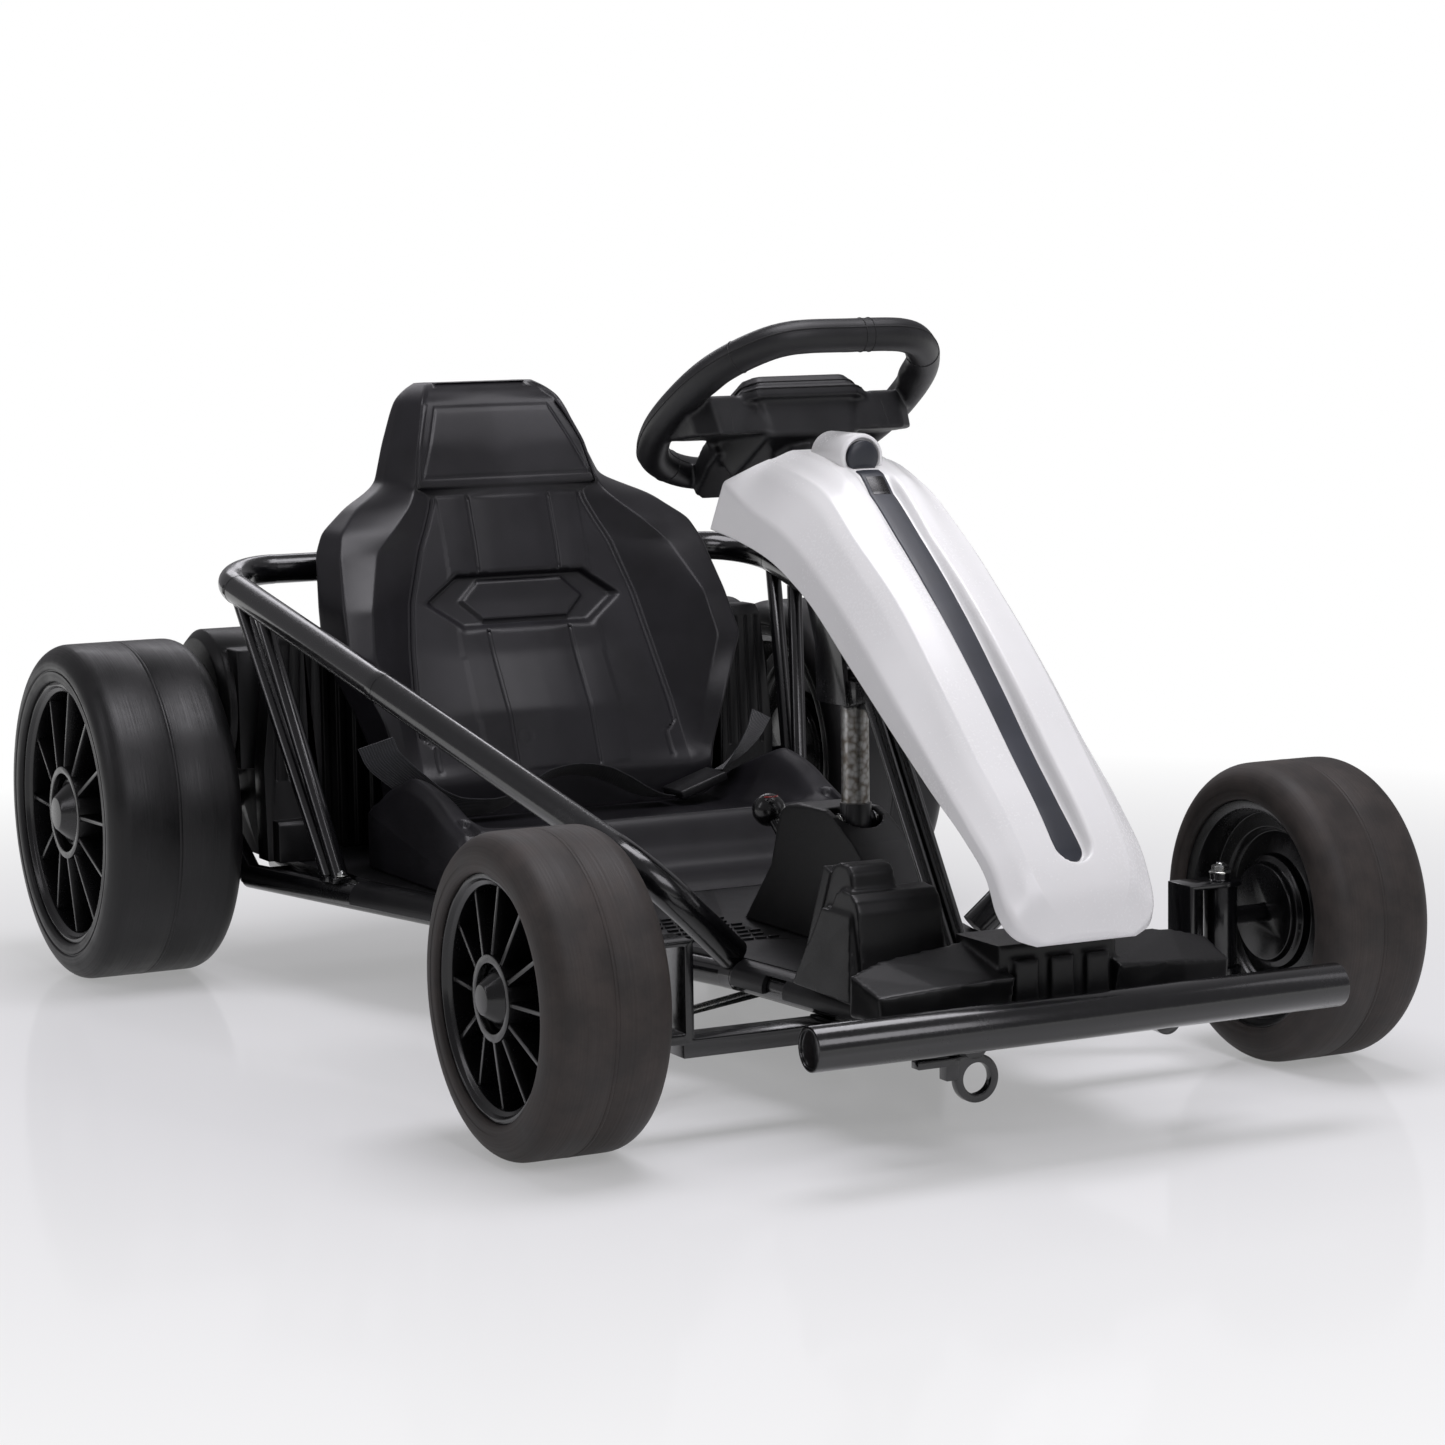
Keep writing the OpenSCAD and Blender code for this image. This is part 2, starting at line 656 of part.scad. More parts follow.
module steering_wheel() {
  color("#141518") put() {
    on_column(wheel_up) {
      bent([[135, -0.5, 0], [135, 78, 0], [62, 109, 0], [-80, 109, 0], [-135, 58, 0],
        [-135, -58, 0], [-80, -109, 0], [62, -109, 0], [135, -78, 0], [135, 0.5, 0]], 34, ring_d);
      translate([0, 0, -47]) linear_extrude(34)
        polygon([[40, -46], [34, -53], [-62, -53], [-74, -42], [-74, 42], [-62, 53], [34, 53],
          [40, 46]]);
      translate([0, 0, -14]) linear_extrude(16)
        polygon([[50, -38], [42, -49], [-58, -53], [-70, -42], [-70, 42], [-58, 53], [42, 49],
          [50, 38]]);
      both_sides() translate([0, 0, -24]) linear_extrude(22)
        polygon([[26, -48], [22, -98], [6, -108], [-44, -108], [-56, -96], [-60, -48]]);
      translate([0, 0, -26]) linear_extrude(24)
        polygon([[-60, -42], [-128, -36], [-136, -30], [-136, 30], [-128, 36], [-60, 42]]);
      translate([0, 0, -70]) cylinder(r = 24, h = 24);
    }
  }
}

module upper_shaft() {
  color("#15161a") put() {
    on_column(4) cylinder(d = shaft_d, h = wheel_up - 70 - 4 - gap);
    translate(axis_base) sphere(r = 17);
  }
}

// vertical shaft with its clamp socket and crank below the floor
module lower_shaft() {
  color("#9b9c9e") put() {
    translate([shaft_x, 0, crank_z]) cylinder(d = shaft_d, h = joint_z - 18 - crank_z);
    translate([shaft_x, 0, 196]) cylinder(r = shaft_d / 2 + 1.5, h = 48);
    rod([shaft_x, -17, 228], [shaft_x, 17, 228], 7);
    both_sides() rod([shaft_x, -17, 228], [shaft_x, -12, 228], 11);
    blk([shaft_x - arm_len - 9, -10, crank_z], [shaft_x, 10, crank_z + 4]);
    translate([shaft_x - arm_len, 0, 62]) cylinder(d = pin_d, h = 23);
  }
}

module tie_rod(side, z) {
  p = [shaft_x - arm_len, 0, z];
  q = [-arm_len, side * kingpin_y, z];
  u = unit(q - p);
  difference() {
    union() {
      rod(p + u * 8, q - u * 8, 7);
      for (c = [p, q]) translate(c) cylinder(d = 20, h = 7, center = true);
    }
    for (c = [p, q]) translate(c) cylinder(d = pin_d + 0.1, h = 20, center = true);
  }
}
module tie_rod_right() { color("#55565a") put() tie_rod(-1, 78); }
module tie_rod_left() { color("#55565a") put() tie_rod(1, 68); }

module knuckle(side) {
  translate([0, side * kingpin_y, 0]) {
    translate([0, 0, 91 + gap]) cylinder(d = 30, h = plate_z - 91 - gap);
    at_wheel(0, 0, front_r, side) cylinder(d = axle_d, h = front_track - kingpin_y + 10);
    blk([-arm_len - 8, -8, 91 + gap], [0, 8, 98]);
    translate([-arm_len, 0, 62]) cylinder(d = pin_d, h = 32);
  }
}
module knuckle_right() { color("#15161a") put() knuckle(-1); }
module knuckle_left() { color("#15161a") put() knuckle(1); }

// tyre of outer radius r, seat radius s and width w with rounded shoulders
function shoulder(r, w, c) = [for (a = [0 : 45 : 90])
  [r - c + c * sin(a), -w / 2 + c - c * cos(a)]];
module tyre(r, s, w) {
  half = concat([[s + gap, -w / 2 + 0.5]], shoulder(r, w, 21));
  rotate_extrude($fn = 90)
    polygon(concat(half, [for (i = [len(half) - 1 : -1 : 0]) [half[i][0], -half[i][1]]]));
}

// spoked rim of seat radius s and width w, outer face up; k scales its hub
module rim(s, w) {
  k = s / 102;
  lip = w / 2 - 5;
  ring = 36 * k;
  difference() {
    union() {
      rotate_extrude($fn = 96)
        polygon([[0, -36], [43 * k, -36], [45 * k, -30], [51 * k, -28], [52 * k, -20],
          [s - 30, -16], [s - 26, -24], [s - 12, -24], [s - 8, -lip + 4], [s, -lip], [s, lip],
          [s - 4, lip], [s - 6, lip - 4], [s - 10, lip - 6],
          [s - 10, lip - 34], [s - 14, 4], [ring + 4, 0], [ring, 5], [ring, lip],
          [ring - 7, lip], [ring - 8, lip - 16], [0, lip - 16]]);
      for (i = [0 : spokes - 1])
        rotate(i * 360 / spokes)
          rotate([90, 0, 0]) linear_extrude(4, center = true)
            polygon([[ring - 4, 8], [s - 8, 8], [s - 8, lip - 9], [ring - 4, lip - 1.5]]);
    }
    translate([0, 0, -40]) cylinder(r = bore_r, h = 60);
  }
}

// hub cap standing in the rim's ring
module cap(s, w) {
  k = s / 102;
  floor_z = w / 2 - 21 + gap;
  translate([0, 0, floor_z]) {
    cylinder(r = 26 * k, h = 9);
    translate([0, 0, 9]) cylinder(r1 = 23.5 * k, r2 = 12.5 * k, h = 15);
  }
}

module front_place(side) {
  put() at_wheel(0, front_track, front_r, side) children();
}
module rear_place(side) {
  put() at_wheel(-wheelbase, rear_track, rear_r, side) children();
}
module front_tyre_right() { color("#2a2827") front_place(-1) tyre(front_r, front_rim_r, front_w); }
module front_rim_right() { color("#1a1a1d") front_place(-1) rim(front_rim_r, front_w); }
module front_cap_right() { color("#17171a") front_place(-1) cap(front_rim_r, front_w); }
module front_tyre_left() { color("#2a2827") front_place(1) tyre(front_r, front_rim_r, front_w); }
module front_rim_left() { color("#1a1a1d") front_place(1) rim(front_rim_r, front_w); }
module front_cap_left() { color("#17171a") front_place(1) cap(front_rim_r, front_w); }
module rear_tyre_right() { color("#202022") rear_place(-1) tyre(rear_r, rear_rim_r, rear_w); }
module rear_rim_right() { color("#1a1a1d") rear_place(-1) rim(rear_rim_r, rear_w); }
module rear_cap_right() { color("#17171a") rear_place(-1) cap(rear_rim_r, rear_w); }
module rear_tyre_left() { color("#202022") rear_place(1) tyre(rear_r, rear_rim_r, rear_w); }
module rear_rim_left() { color("#1a1a1d") rear_place(1) rim(rear_rim_r, rear_w); }
module rear_cap_left() { color("#17171a") rear_place(1) cap(rear_rim_r, rear_w); }

lower_frame();
front_beam();
front_bumper();
side_hoop();
strut_pair_right();
strut_pair_left();
column_legs();
rear_axle();
floor_pan();
nose_panel();
tow_hook();
column_cover();
column_insert();
steering_box();
pedal_housing();
throttle_pedal();
shift_lever();
seat_back();
seat_base();
motor_cover_right();
motor_cover_left();
motor_housing_right();
motor_housing_left();
battery_block();
lap_belt_right();
lap_belt_left();
belt_buckle();
steering_wheel();
upper_shaft();
lower_shaft();
tie_rod_right();
tie_rod_left();
knuckle_right();
knuckle_left();
front_tyre_right();
front_tyre_left();
front_rim_right();
front_rim_left();
front_cap_right();
front_cap_left();
rear_tyre_right();
rear_tyre_left();
rear_rim_right();
rear_rim_left();
rear_cap_right();
rear_cap_left();
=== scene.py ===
"""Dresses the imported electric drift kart: moulded shells, slick tyres, woven
lap belts, fasteners, finishes, studio light and the camera.

Lengths in the sub-assemblies are millimetres in the axle frame (X forward from
the front axle, Y left, Z up) and turn to metres in the row frame at the end."""

from __future__ import annotations

import logging
import math
from dataclasses import dataclass, field
from enum import Enum

import bmesh
import bpy
import numpy as np
from mathutils import Matrix, Vector


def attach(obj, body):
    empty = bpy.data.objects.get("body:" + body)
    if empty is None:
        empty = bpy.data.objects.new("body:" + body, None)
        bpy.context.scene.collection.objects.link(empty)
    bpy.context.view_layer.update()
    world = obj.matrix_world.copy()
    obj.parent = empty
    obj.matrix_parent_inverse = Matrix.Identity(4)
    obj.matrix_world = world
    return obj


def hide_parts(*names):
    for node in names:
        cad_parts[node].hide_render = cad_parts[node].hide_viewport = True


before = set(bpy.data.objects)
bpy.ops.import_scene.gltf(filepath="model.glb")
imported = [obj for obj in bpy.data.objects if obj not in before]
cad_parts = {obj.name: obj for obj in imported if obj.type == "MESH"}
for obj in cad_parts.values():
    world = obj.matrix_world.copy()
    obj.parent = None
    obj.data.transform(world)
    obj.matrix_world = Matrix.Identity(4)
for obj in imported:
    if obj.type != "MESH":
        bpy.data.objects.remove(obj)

LOG = logging.getLogger("kart")
MM = 0.001
CHASSIS = "chassis"
WHEEL = "steering_wheel"
# the front axle's distance from the middle of the footprint
AXLE_SHIFT = 437.5
# the steering column's joint in the axle frame, and how far it leans back
COLUMN_JOINT = (-145.0, 381.0)
COLUMN_LEAN = 30.0
# the photograph's side in pixels, and the camera's sensor in mm
PHOTO_SIDE = 1445
SENSOR = 36.0


def linear(code: str) -> tuple[float, float, float, float]:
    """Turns an sRGB hex colour into a linear one.

    Args:
        code: colour as "#rrggbb".

    Returns:
        Linear red, green, blue and an alpha of one.
    """
    parts = [int(code[i : i + 2], 16) / 255 for i in (1, 3, 5)]
    lin = [p / 12.92 if p <= 0.04045 else ((p + 0.055) / 1.055) ** 2.4 for p in parts]
    return (lin[0], lin[1], lin[2], 1.0)


def add(tree: bpy.types.NodeTree, kind: str, inputs: dict | None = None,
        **settings: object) -> bpy.types.Node:
    """Adds a node with its settings, constants and links.

    Args:
        tree: node tree that takes the node.
        kind: Blender's type name of the node.
        inputs: socket name or number to a constant or to an output socket.
        settings: properties of the node.

    Returns:
        The new node.
    """
    node = tree.nodes.new(kind)
    for key, value in settings.items():
        setattr(node, key, value)
    for key, value in (inputs or {}).items():
        if isinstance(value, bpy.types.NodeSocket):
            tree.links.new(value, node.inputs[key])
        else:
            node.inputs[key].default_value = value
    return node


def blank(name: str) -> tuple[bpy.types.Material, bpy.types.NodeTree, bpy.types.Node]:
    """Starts a material.

    Args:
        name: its name.

    Returns:
        The material, its node tree and its main shader.
    """
    look = bpy.data.materials.new(name)
    look.use_nodes = True
    return look, look.node_tree, look.node_tree.nodes["Principled BSDF"]


def pchip(knots: np.ndarray, values: np.ndarray, at: np.ndarray) -> np.ndarray:
    """Monotone cubic through a table: each span is a Hermite cubic whose end
    slopes are the harmonic mean of the two neighbouring slopes, or zero where
    they differ in sign.

    Args:
        knots: rising positions, K of them.
        values: table of K rows of any shape.
        at: N positions to read.

    Returns:
        N rows of the table's shape.
    """
    knots, values = np.asarray(knots, float), np.asarray(values, float)
    tail = (1,) * (values.ndim - 1)
    span = np.diff(knots)
    wide = span.reshape((-1,) + tail)
    slope = np.diff(values, axis=0) / wide
    heavy, light = 2 * wide[1:] + wide[:-1], wide[1:] + 2 * wide[:-1]
    with np.errstate(divide="ignore", invalid="ignore"):
        mean = (heavy + light) / (heavy / slope[:-1] + light / slope[1:])
    turn = np.zeros_like(values)
    turn[1:-1] = np.where(slope[1:] * slope[:-1] > 0, mean, 0.0)
    turn[0], turn[-1] = slope[0], slope[-1]
    k = np.clip(np.searchsorted(knots, at, side="right") - 1, 0, len(knots) - 2)
    t = ((at - knots[k]) / span[k]).reshape((-1,) + tail)
    h = span[k].reshape(t.shape)
    return ((2 * t**3 - 3 * t**2 + 1) * values[k] + (t**3 - 2 * t**2 + t) * h * turn[k]
            + (3 * t**2 - 2 * t**3) * values[k + 1] + (t**3 - t**2) * h * turn[k + 1])


def rounded(points: np.ndarray, radii: list[float], edges: list[int],
            per_corner: int = 7) -> np.ndarray:
    """Rounds the corners of polylines: each inner corner becomes a quadratic
    Bezier curve that starts and ends its radius along the two edges beside it.

    Args:
        points: R polylines of K points.
        radii: K radii, of which the first and last aren't used.
        edges: number of points added inside each of the K-1 straight edges.
        per_corner: points on each corner.

    Returns:
        R polylines of the same, larger, number of points.
    """
    count = points.shape[1]
    t = np.linspace(0, 1, per_corner)[None, :, None]
    parts = [points[:, :1]]
    for k in range(1, count - 1):
        here = points[:, k]
        back, fore = points[:, k - 1] - here, points[:, k + 1] - here
        lb = np.linalg.norm(back, axis=1, keepdims=True)
        lf = np.linalg.norm(fore, axis=1, keepdims=True)
        r = np.minimum(np.minimum(radii[k], 0.45 * lb), 0.45 * lf)
        a, b = here + back / lb * r, here + fore / lf * r
        parts.append((1 - t) ** 2 * a[:, None] + 2 * t * (1 - t) * here[:, None]
                     + t**2 * b[:, None])
    parts.append(points[:, -1:])
    line = [parts[0]]
    for n, part in zip(edges, parts[1:]):
        if n:
            s = np.linspace(0, 1, n + 2)[1:-1][None, :, None]
            line.append(line[-1][:, -1:] * (1 - s) + part[:, :1] * s)
        line.append(part)
    return np.concatenate(line, axis=1)


def step(low: float, high: float, value: np.ndarray) -> np.ndarray:
    """Smooth step: 3t squared less 2t cubed, t the place between the two ends.

    Args:
        low: value at which it is 0.
        high: value at which it is 1.
        value: values to read.

    Returns:
        Numbers from 0 to 1 of the values' shape.
    """
    t = np.clip((value - low) / (high - low), 0, 1)
    return t * t * (3 - 2 * t)


def outline_distance(y: np.ndarray, z: np.ndarray, corners: list) -> np.ndarray:
    """Distance from the edge of a convex outline, below zero inside: the
    largest of the signed distances to its side lines.

    Args:
        y: first coordinates.
        z: second coordinates.
        corners: outline, counter-clockwise.

    Returns:
        Distances of the coordinates' shape.
    """
    far = np.full(np.shape(y), -1e9)
    for (ay, az), (by, bz) in zip(corners, corners[1:] + corners[:1]):
        ey, ez = by - ay, bz - az
        size = math.hypot(ey, ez)
        far = np.maximum(far, ((y - ay) * ez - (z - az) * ey) / size)
    return far


def grid_faces(rows: int, cols: int, close: bool) -> np.ndarray:
    """Faces of a grid of points: each joins a point to the next in its row and
    to the two beside them in the next row.

    Args:
        rows: number of rows.
        cols: points in a row.
        close: whether a row's last point joins its first.

    Returns:
        Numbers of four points a face.
    """
    wrap = cols if close else cols - 1
    i, j = np.meshgrid(np.arange(rows - 1), np.arange(wrap), indexing="ij")
    k = (j + 1) % cols
    quads = np.stack([i * cols + j, i * cols + k, (i + 1) * cols + k, (i + 1) * cols + j], -1)
    return quads.reshape(-1, 4)


def column_point(points: np.ndarray, height: float) -> np.ndarray:
    """Carries points from the wheel's own plane to the axle frame: a turn by
    the column's lean about Y, then a shift to the column's joint.

    Args:
        points: points in mm, X and Y in the wheel's plane and Z up the column.
        height: distance of that plane up the column from its joint.

    Returns:
        Points of the same shape.
    """
    p = np.asarray(points, float) + [0, 0, height]
    c, s = math.cos(math.radians(COLUMN_LEAN)), math.sin(math.radians(COLUMN_LEAN))
    return np.stack([p[..., 0] * c - p[..., 2] * s + COLUMN_JOINT[0], p[..., 1],
                     p[..., 0] * s + p[..., 2] * c + COLUMN_JOINT[1]], -1)


class Shell:
    """Makes Blender objects from arrays of points in the axle frame."""

    @staticmethod
    def mesh(name: str, points: np.ndarray, faces: list, smooth: float = 40) -> bpy.types.Object:
        """Puts points and faces into a new object and turns its faces outward
        by the sign of its volume.

        Args:
            name: name of the piece.
            points: N points in mm.
            faces: lists of point numbers.
            smooth: angle in degrees over which an edge stays sharp.

        Returns:
            The new object.
        """
        data = bpy.data.meshes.new(name)
        place = (np.asarray(points, float) + [AXLE_SHIFT, 0, 0]) * MM
        data.from_pydata(place.tolist(), [], [list(map(int, f)) for f in faces])
        work = bmesh.new()
        work.from_mesh(data)
        if work.calc_volume(signed=True) < 0:
            bmesh.ops.reverse_faces(work, faces=work.faces)
        work.to_mesh(data)
        work.free()
        return Shell.link(name, data, smooth)

    @staticmethod
    def link(name: str, data: bpy.types.Mesh, smooth: float) -> bpy.types.Object:
        """Links a mesh as a new object.

        Args:
            name: name of the piece.
            data: its mesh.
            smooth: angle in degrees over which an edge stays sharp.

        Returns:
            The new object.
        """
        data.validate()
        Shell.shade(data, smooth)
        piece = bpy.data.objects.new(name, data)
        bpy.context.scene.collection.objects.link(piece)
        return piece

    @staticmethod
    def shade(data: bpy.types.Mesh, smooth: float) -> None:
        """Shades a mesh smooth, with edges over that angle in degrees kept sharp."""
        data.polygons.foreach_set("use_smooth", np.ones(len(data.polygons), bool))
        data.set_sharp_from_angle(angle=math.radians(smooth))

    @staticmethod
    def rings(name: str, rings: np.ndarray, smooth: float = 40) -> bpy.types.Object:
        """A closed body through rings of points, with a face on each end.

        Args:
            name: name of the piece.
            rings: R rings of C points.
            smooth: angle over which an edge stays sharp.

        Returns:
            The new object.
        """
        r, c = rings.shape[:2]
        faces = grid_faces(r, c, True).tolist()
        faces += [list(range(c))[::-1], list(range((r - 1) * c, r * c))]
        return Shell.mesh(name, rings.reshape(-1, 3), faces, smooth)

    @staticmethod
    def loop(name: str, rings: np.ndarray, smooth: float = 40) -> bpy.types.Object:
        """A closed tube whose last ring joins its first, as on a tyre.

        Args:
            name: name of the piece.
            rings: R rings of C points.
            smooth: angle over which an edge stays sharp.

        Returns:
            The new object.
        """
        r, c = rings.shape[:2]
        faces = grid_faces(r + 1, c, True) % (r * c)
        return Shell.mesh(name, rings.reshape(-1, 3), faces.tolist(), smooth)

    @staticmethod
    def tube(name: str, path: np.ndarray, radius: float, closed: bool,
             around: int = 8) -> bpy.types.Object:
        """A thin round cord along a path: a circle in the plane of two
        directions square to the path at each point.

        Args:
            name: name of the piece.
            path: points of the middle line.
            radius: radius of the cord.
            closed: whether the last point joins the first.
            around: number of points round the cord.

        Returns:
            The new object.
        """
        if closed:
            along = np.roll(path, -1, 0) - np.roll(path, 1, 0)
        else:
            along = np.gradient(path, axis=0)
        along /= np.linalg.norm(along, axis=1, keepdims=True)
        side = np.cross(along, [0.31, 0.17, 0.93])
        side /= np.linalg.norm(side, axis=1, keepdims=True)
        up = np.cross(side, along)
        a = np.linspace(0, 2 * np.pi, around + 1)[:-1][None, :, None]
        rings = path[:, None] + radius * (np.cos(a) * side[:, None] + np.sin(a) * up[:, None])
        return Shell.loop(name, rings) if closed else Shell.rings(name, rings)

    @staticmethod
    def bake(piece: bpy.types.Object, smooth: float = 40) -> bpy.types.Object:
        """Applies the modifiers of a piece to its mesh.

        Args:
            piece: piece with its modifiers.
            smooth: angle over which an edge stays sharp.

        Returns:
            The piece.
        """
        graph = bpy.context.evaluated_depsgraph_get()
        data = bpy.data.meshes.new_from_object(piece.evaluated_get(graph))
        piece.modifiers.clear()
        piece.data = data
        Shell.shade(data, smooth)
        return piece

    @staticmethod
    def soften(piece: bpy.types.Object, width: float, angle: float = 30,
               segments: int = 2) -> bpy.types.Object:
        """Rounds the sharp edges of a piece by a bevel.

        Args:
            piece: piece to round.
            width: the bevel's width in mm.
            angle: angle in degrees over which an edge counts as sharp.
            segments: steps round each edge.

        Returns:
            The piece.
        """
        edge = piece.modifiers.new("edge", "BEVEL")
        edge.width, edge.segments = width * MM, segments
        edge.limit_method, edge.angle_limit = "ANGLE", math.radians(angle)
        edge.use_clamp_overlap = False
        edge.miter_outer = "MITER_ARC"
        return Shell.bake(piece, angle)

    @staticmethod
    def from_node(node: str) -> bpy.types.Object:
        """Copies a CAD node's mesh, merged, with its flat triangles joined to faces.

        Args:
            node: CAD node.

        Returns:
            The new object.
        """
        work = bmesh.new()
        work.from_mesh(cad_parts[node].data)
        bmesh.ops.remove_doubles(work, verts=work.verts, dist=2e-6)
        bmesh.ops.dissolve_limit(work, angle_limit=math.radians(0.4), verts=work.verts,
                                 edges=work.edges, use_dissolve_boundaries=False)
        data = bpy.data.meshes.new(node + "_dressed")
        work.to_mesh(data)
        work.free()
        return Shell.link(node + "_dressed", data, 30)

    @staticmethod
    def remesh(piece: bpy.types.Object, voxel: float, passes: int) -> bpy.types.Object:
        """Melts a piece's crossing bodies into one skin and relaxes it, which
        rounds its edges as a mould does.

        Args:
            piece: piece to melt.
            voxel: grid size in mm.
            passes: rounds of relaxing.

        Returns:
            The piece.
        """
        tri = piece.modifiers.new("split", "TRIANGULATE")
        tri.min_vertices = 5
        grid = piece.modifiers.new("grid", "REMESH")
        grid.mode, grid.voxel_size, grid.use_smooth_shade = "VOXEL", voxel * MM, True
        relax = piece.modifiers.new("relax", "SMOOTH")
        relax.factor, relax.iterations = 0.5, passes
        return Shell.bake(piece, 60)


def dress(piece: bpy.types.Object, body: str, look: bpy.types.Material,
          *nodes: str) -> bpy.types.Object:
    """Gives a piece its material and its body, and hides the CAD nodes that it stands for.

    Args:
        piece: finished piece.
        body: CAD body that it rides on.
        look: its material.
        nodes: CAD nodes that it replaces.

    Returns:
        The piece.
    """
    piece.data.materials.clear()
    piece.data.materials.append(look)
    if nodes:
        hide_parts(*nodes)
    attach(piece, body)
    LOG.info("%s: %d faces on %s", piece.name, len(piece.data.polygons), body)
    return piece


class Pattern(Enum):
    """How a finish's surface was made, which sets its fine pattern."""

    MOULDED = "moulded grain"
    COATED = "powder coat"
    SPUN = "moulded round its axis"


@dataclass(frozen=True)
class Finish:
    """A hard finish: a base colour with a second one mottled in, a roughness
    that varies, and a fine relief. The grain, its depth, the mottle and the
    centre that a spun pattern runs round are in mm; edge is the colour of a painted
    highlight on sharp outer edges, mixed in with the grain, or nothing; sheen is the shader's
    specular level."""

    name: str
    base: str
    other: str
    rough: float
    spread: float
    pattern: Pattern
    grain: float
    depth: float
    metal: float = 0.0
    coat: float = 0.0
    mottle: float = 60.0
    centre: tuple[float, float, float] = (0.0, 0.0, 0.0)
    edge: str = ""
    sheen: float = 0.5

    def build(self) -> bpy.types.Material:
        """Builds the material's nodes.

        Returns:
            The material.
        """
        look, tree, shader = blank(self.name)
        spot = add(tree, "ShaderNodeTexCoord").outputs["Object"]
        # a spun pattern reads the distance from the axle and the place along it
        if self.pattern is Pattern.SPUN:
            middle = tuple(-c * MM for c in self.centre)
            near = add(tree, "ShaderNodeMapping", {"Vector": spot, "Location": middle})
            flat = add(tree, "ShaderNodeVectorMath", {0: near.outputs[0], 1: (1, 0, 1)},
                       operation="MULTIPLY")
            round_ = add(tree, "ShaderNodeVectorMath", {0: flat.outputs[0]}, operation="LENGTH")
            split = add(tree, "ShaderNodeSeparateXYZ", {0: near.outputs[0]})
            spot_fine = add(tree, "ShaderNodeCombineXYZ",
                            {0: round_.outputs["Value"], 1: split.outputs[1]}).outputs[0]
        else:
            spot_fine = spot
        cloud = add(tree, "ShaderNodeTexNoise", {"Vector": spot, "Scale": 1 / (self.mottle * MM),
                                                 "Detail": 5.0, "Roughness": 0.6})
        fine = add(tree, "ShaderNodeTexNoise", {"Vector": spot_fine,
                                                "Scale": 1 / (self.grain * MM),
                                                "Detail": 3.0, "Roughness": 0.55})
        # most of the cloud's values lie between these two ends
        share = add(tree, "ShaderNodeMapRange", {0: cloud.outputs[0], 1: 0.38, 2: 0.66})
        shade = add(tree, "ShaderNodeMix", {0: share.outputs[0], 6: linear(self.base),
                                            7: linear(self.other)}, data_type="RGBA")
        colour = shade.outputs[2]
        # outer edges have a pointiness over a half, and there a lighter colour is mixed in with the
        # grain as a painted edge highlight
        if self.edge:
            edge_pointiness = add(tree, "ShaderNodeNewGeometry")
            rim = add(tree, "ShaderNodeMapRange", {0: edge_pointiness.outputs["Pointiness"],
                                                   1: 0.53, 2: 0.62, 4: 0.5})
            painted_edge_highlight = add(tree, "ShaderNodeMath", {0: rim.outputs[0], 1: fine.outputs[0]},
                      operation="MULTIPLY")
            colour = add(tree, "ShaderNodeMix", {0: painted_edge_highlight.outputs[0], 6: colour,
                                                 7: linear(self.edge)},
                         data_type="RGBA").outputs[2]
        both = add(tree, "ShaderNodeMath", {0: cloud.outputs[0], 1: fine.outputs[0]},
                   operation="MULTIPLY")
        gloss = add(tree, "ShaderNodeMapRange", {0: both.outputs[0], 1: 0.12, 2: 0.4,
                                                 3: self.rough - self.spread,
                                                 4: self.rough + self.spread})
        relief = add(tree, "ShaderNodeBump", {"Strength": 0.5, "Distance": self.depth * MM,
                                              "Height": fine.outputs[0]})
        tree.links.new(colour, shader.inputs["Base Color"])
        tree.links.new(gloss.outputs[0], shader.inputs["Roughness"])
        tree.links.new(relief.outputs[0], shader.inputs["Normal"])
        shader.inputs["Metallic"].default_value = self.metal
        shader.inputs["Specular IOR Level"].default_value = self.sheen
        shader.inputs["Coat Weight"].default_value = self.coat
        shader.inputs["Coat Roughness"].default_value = 0.12
        return look


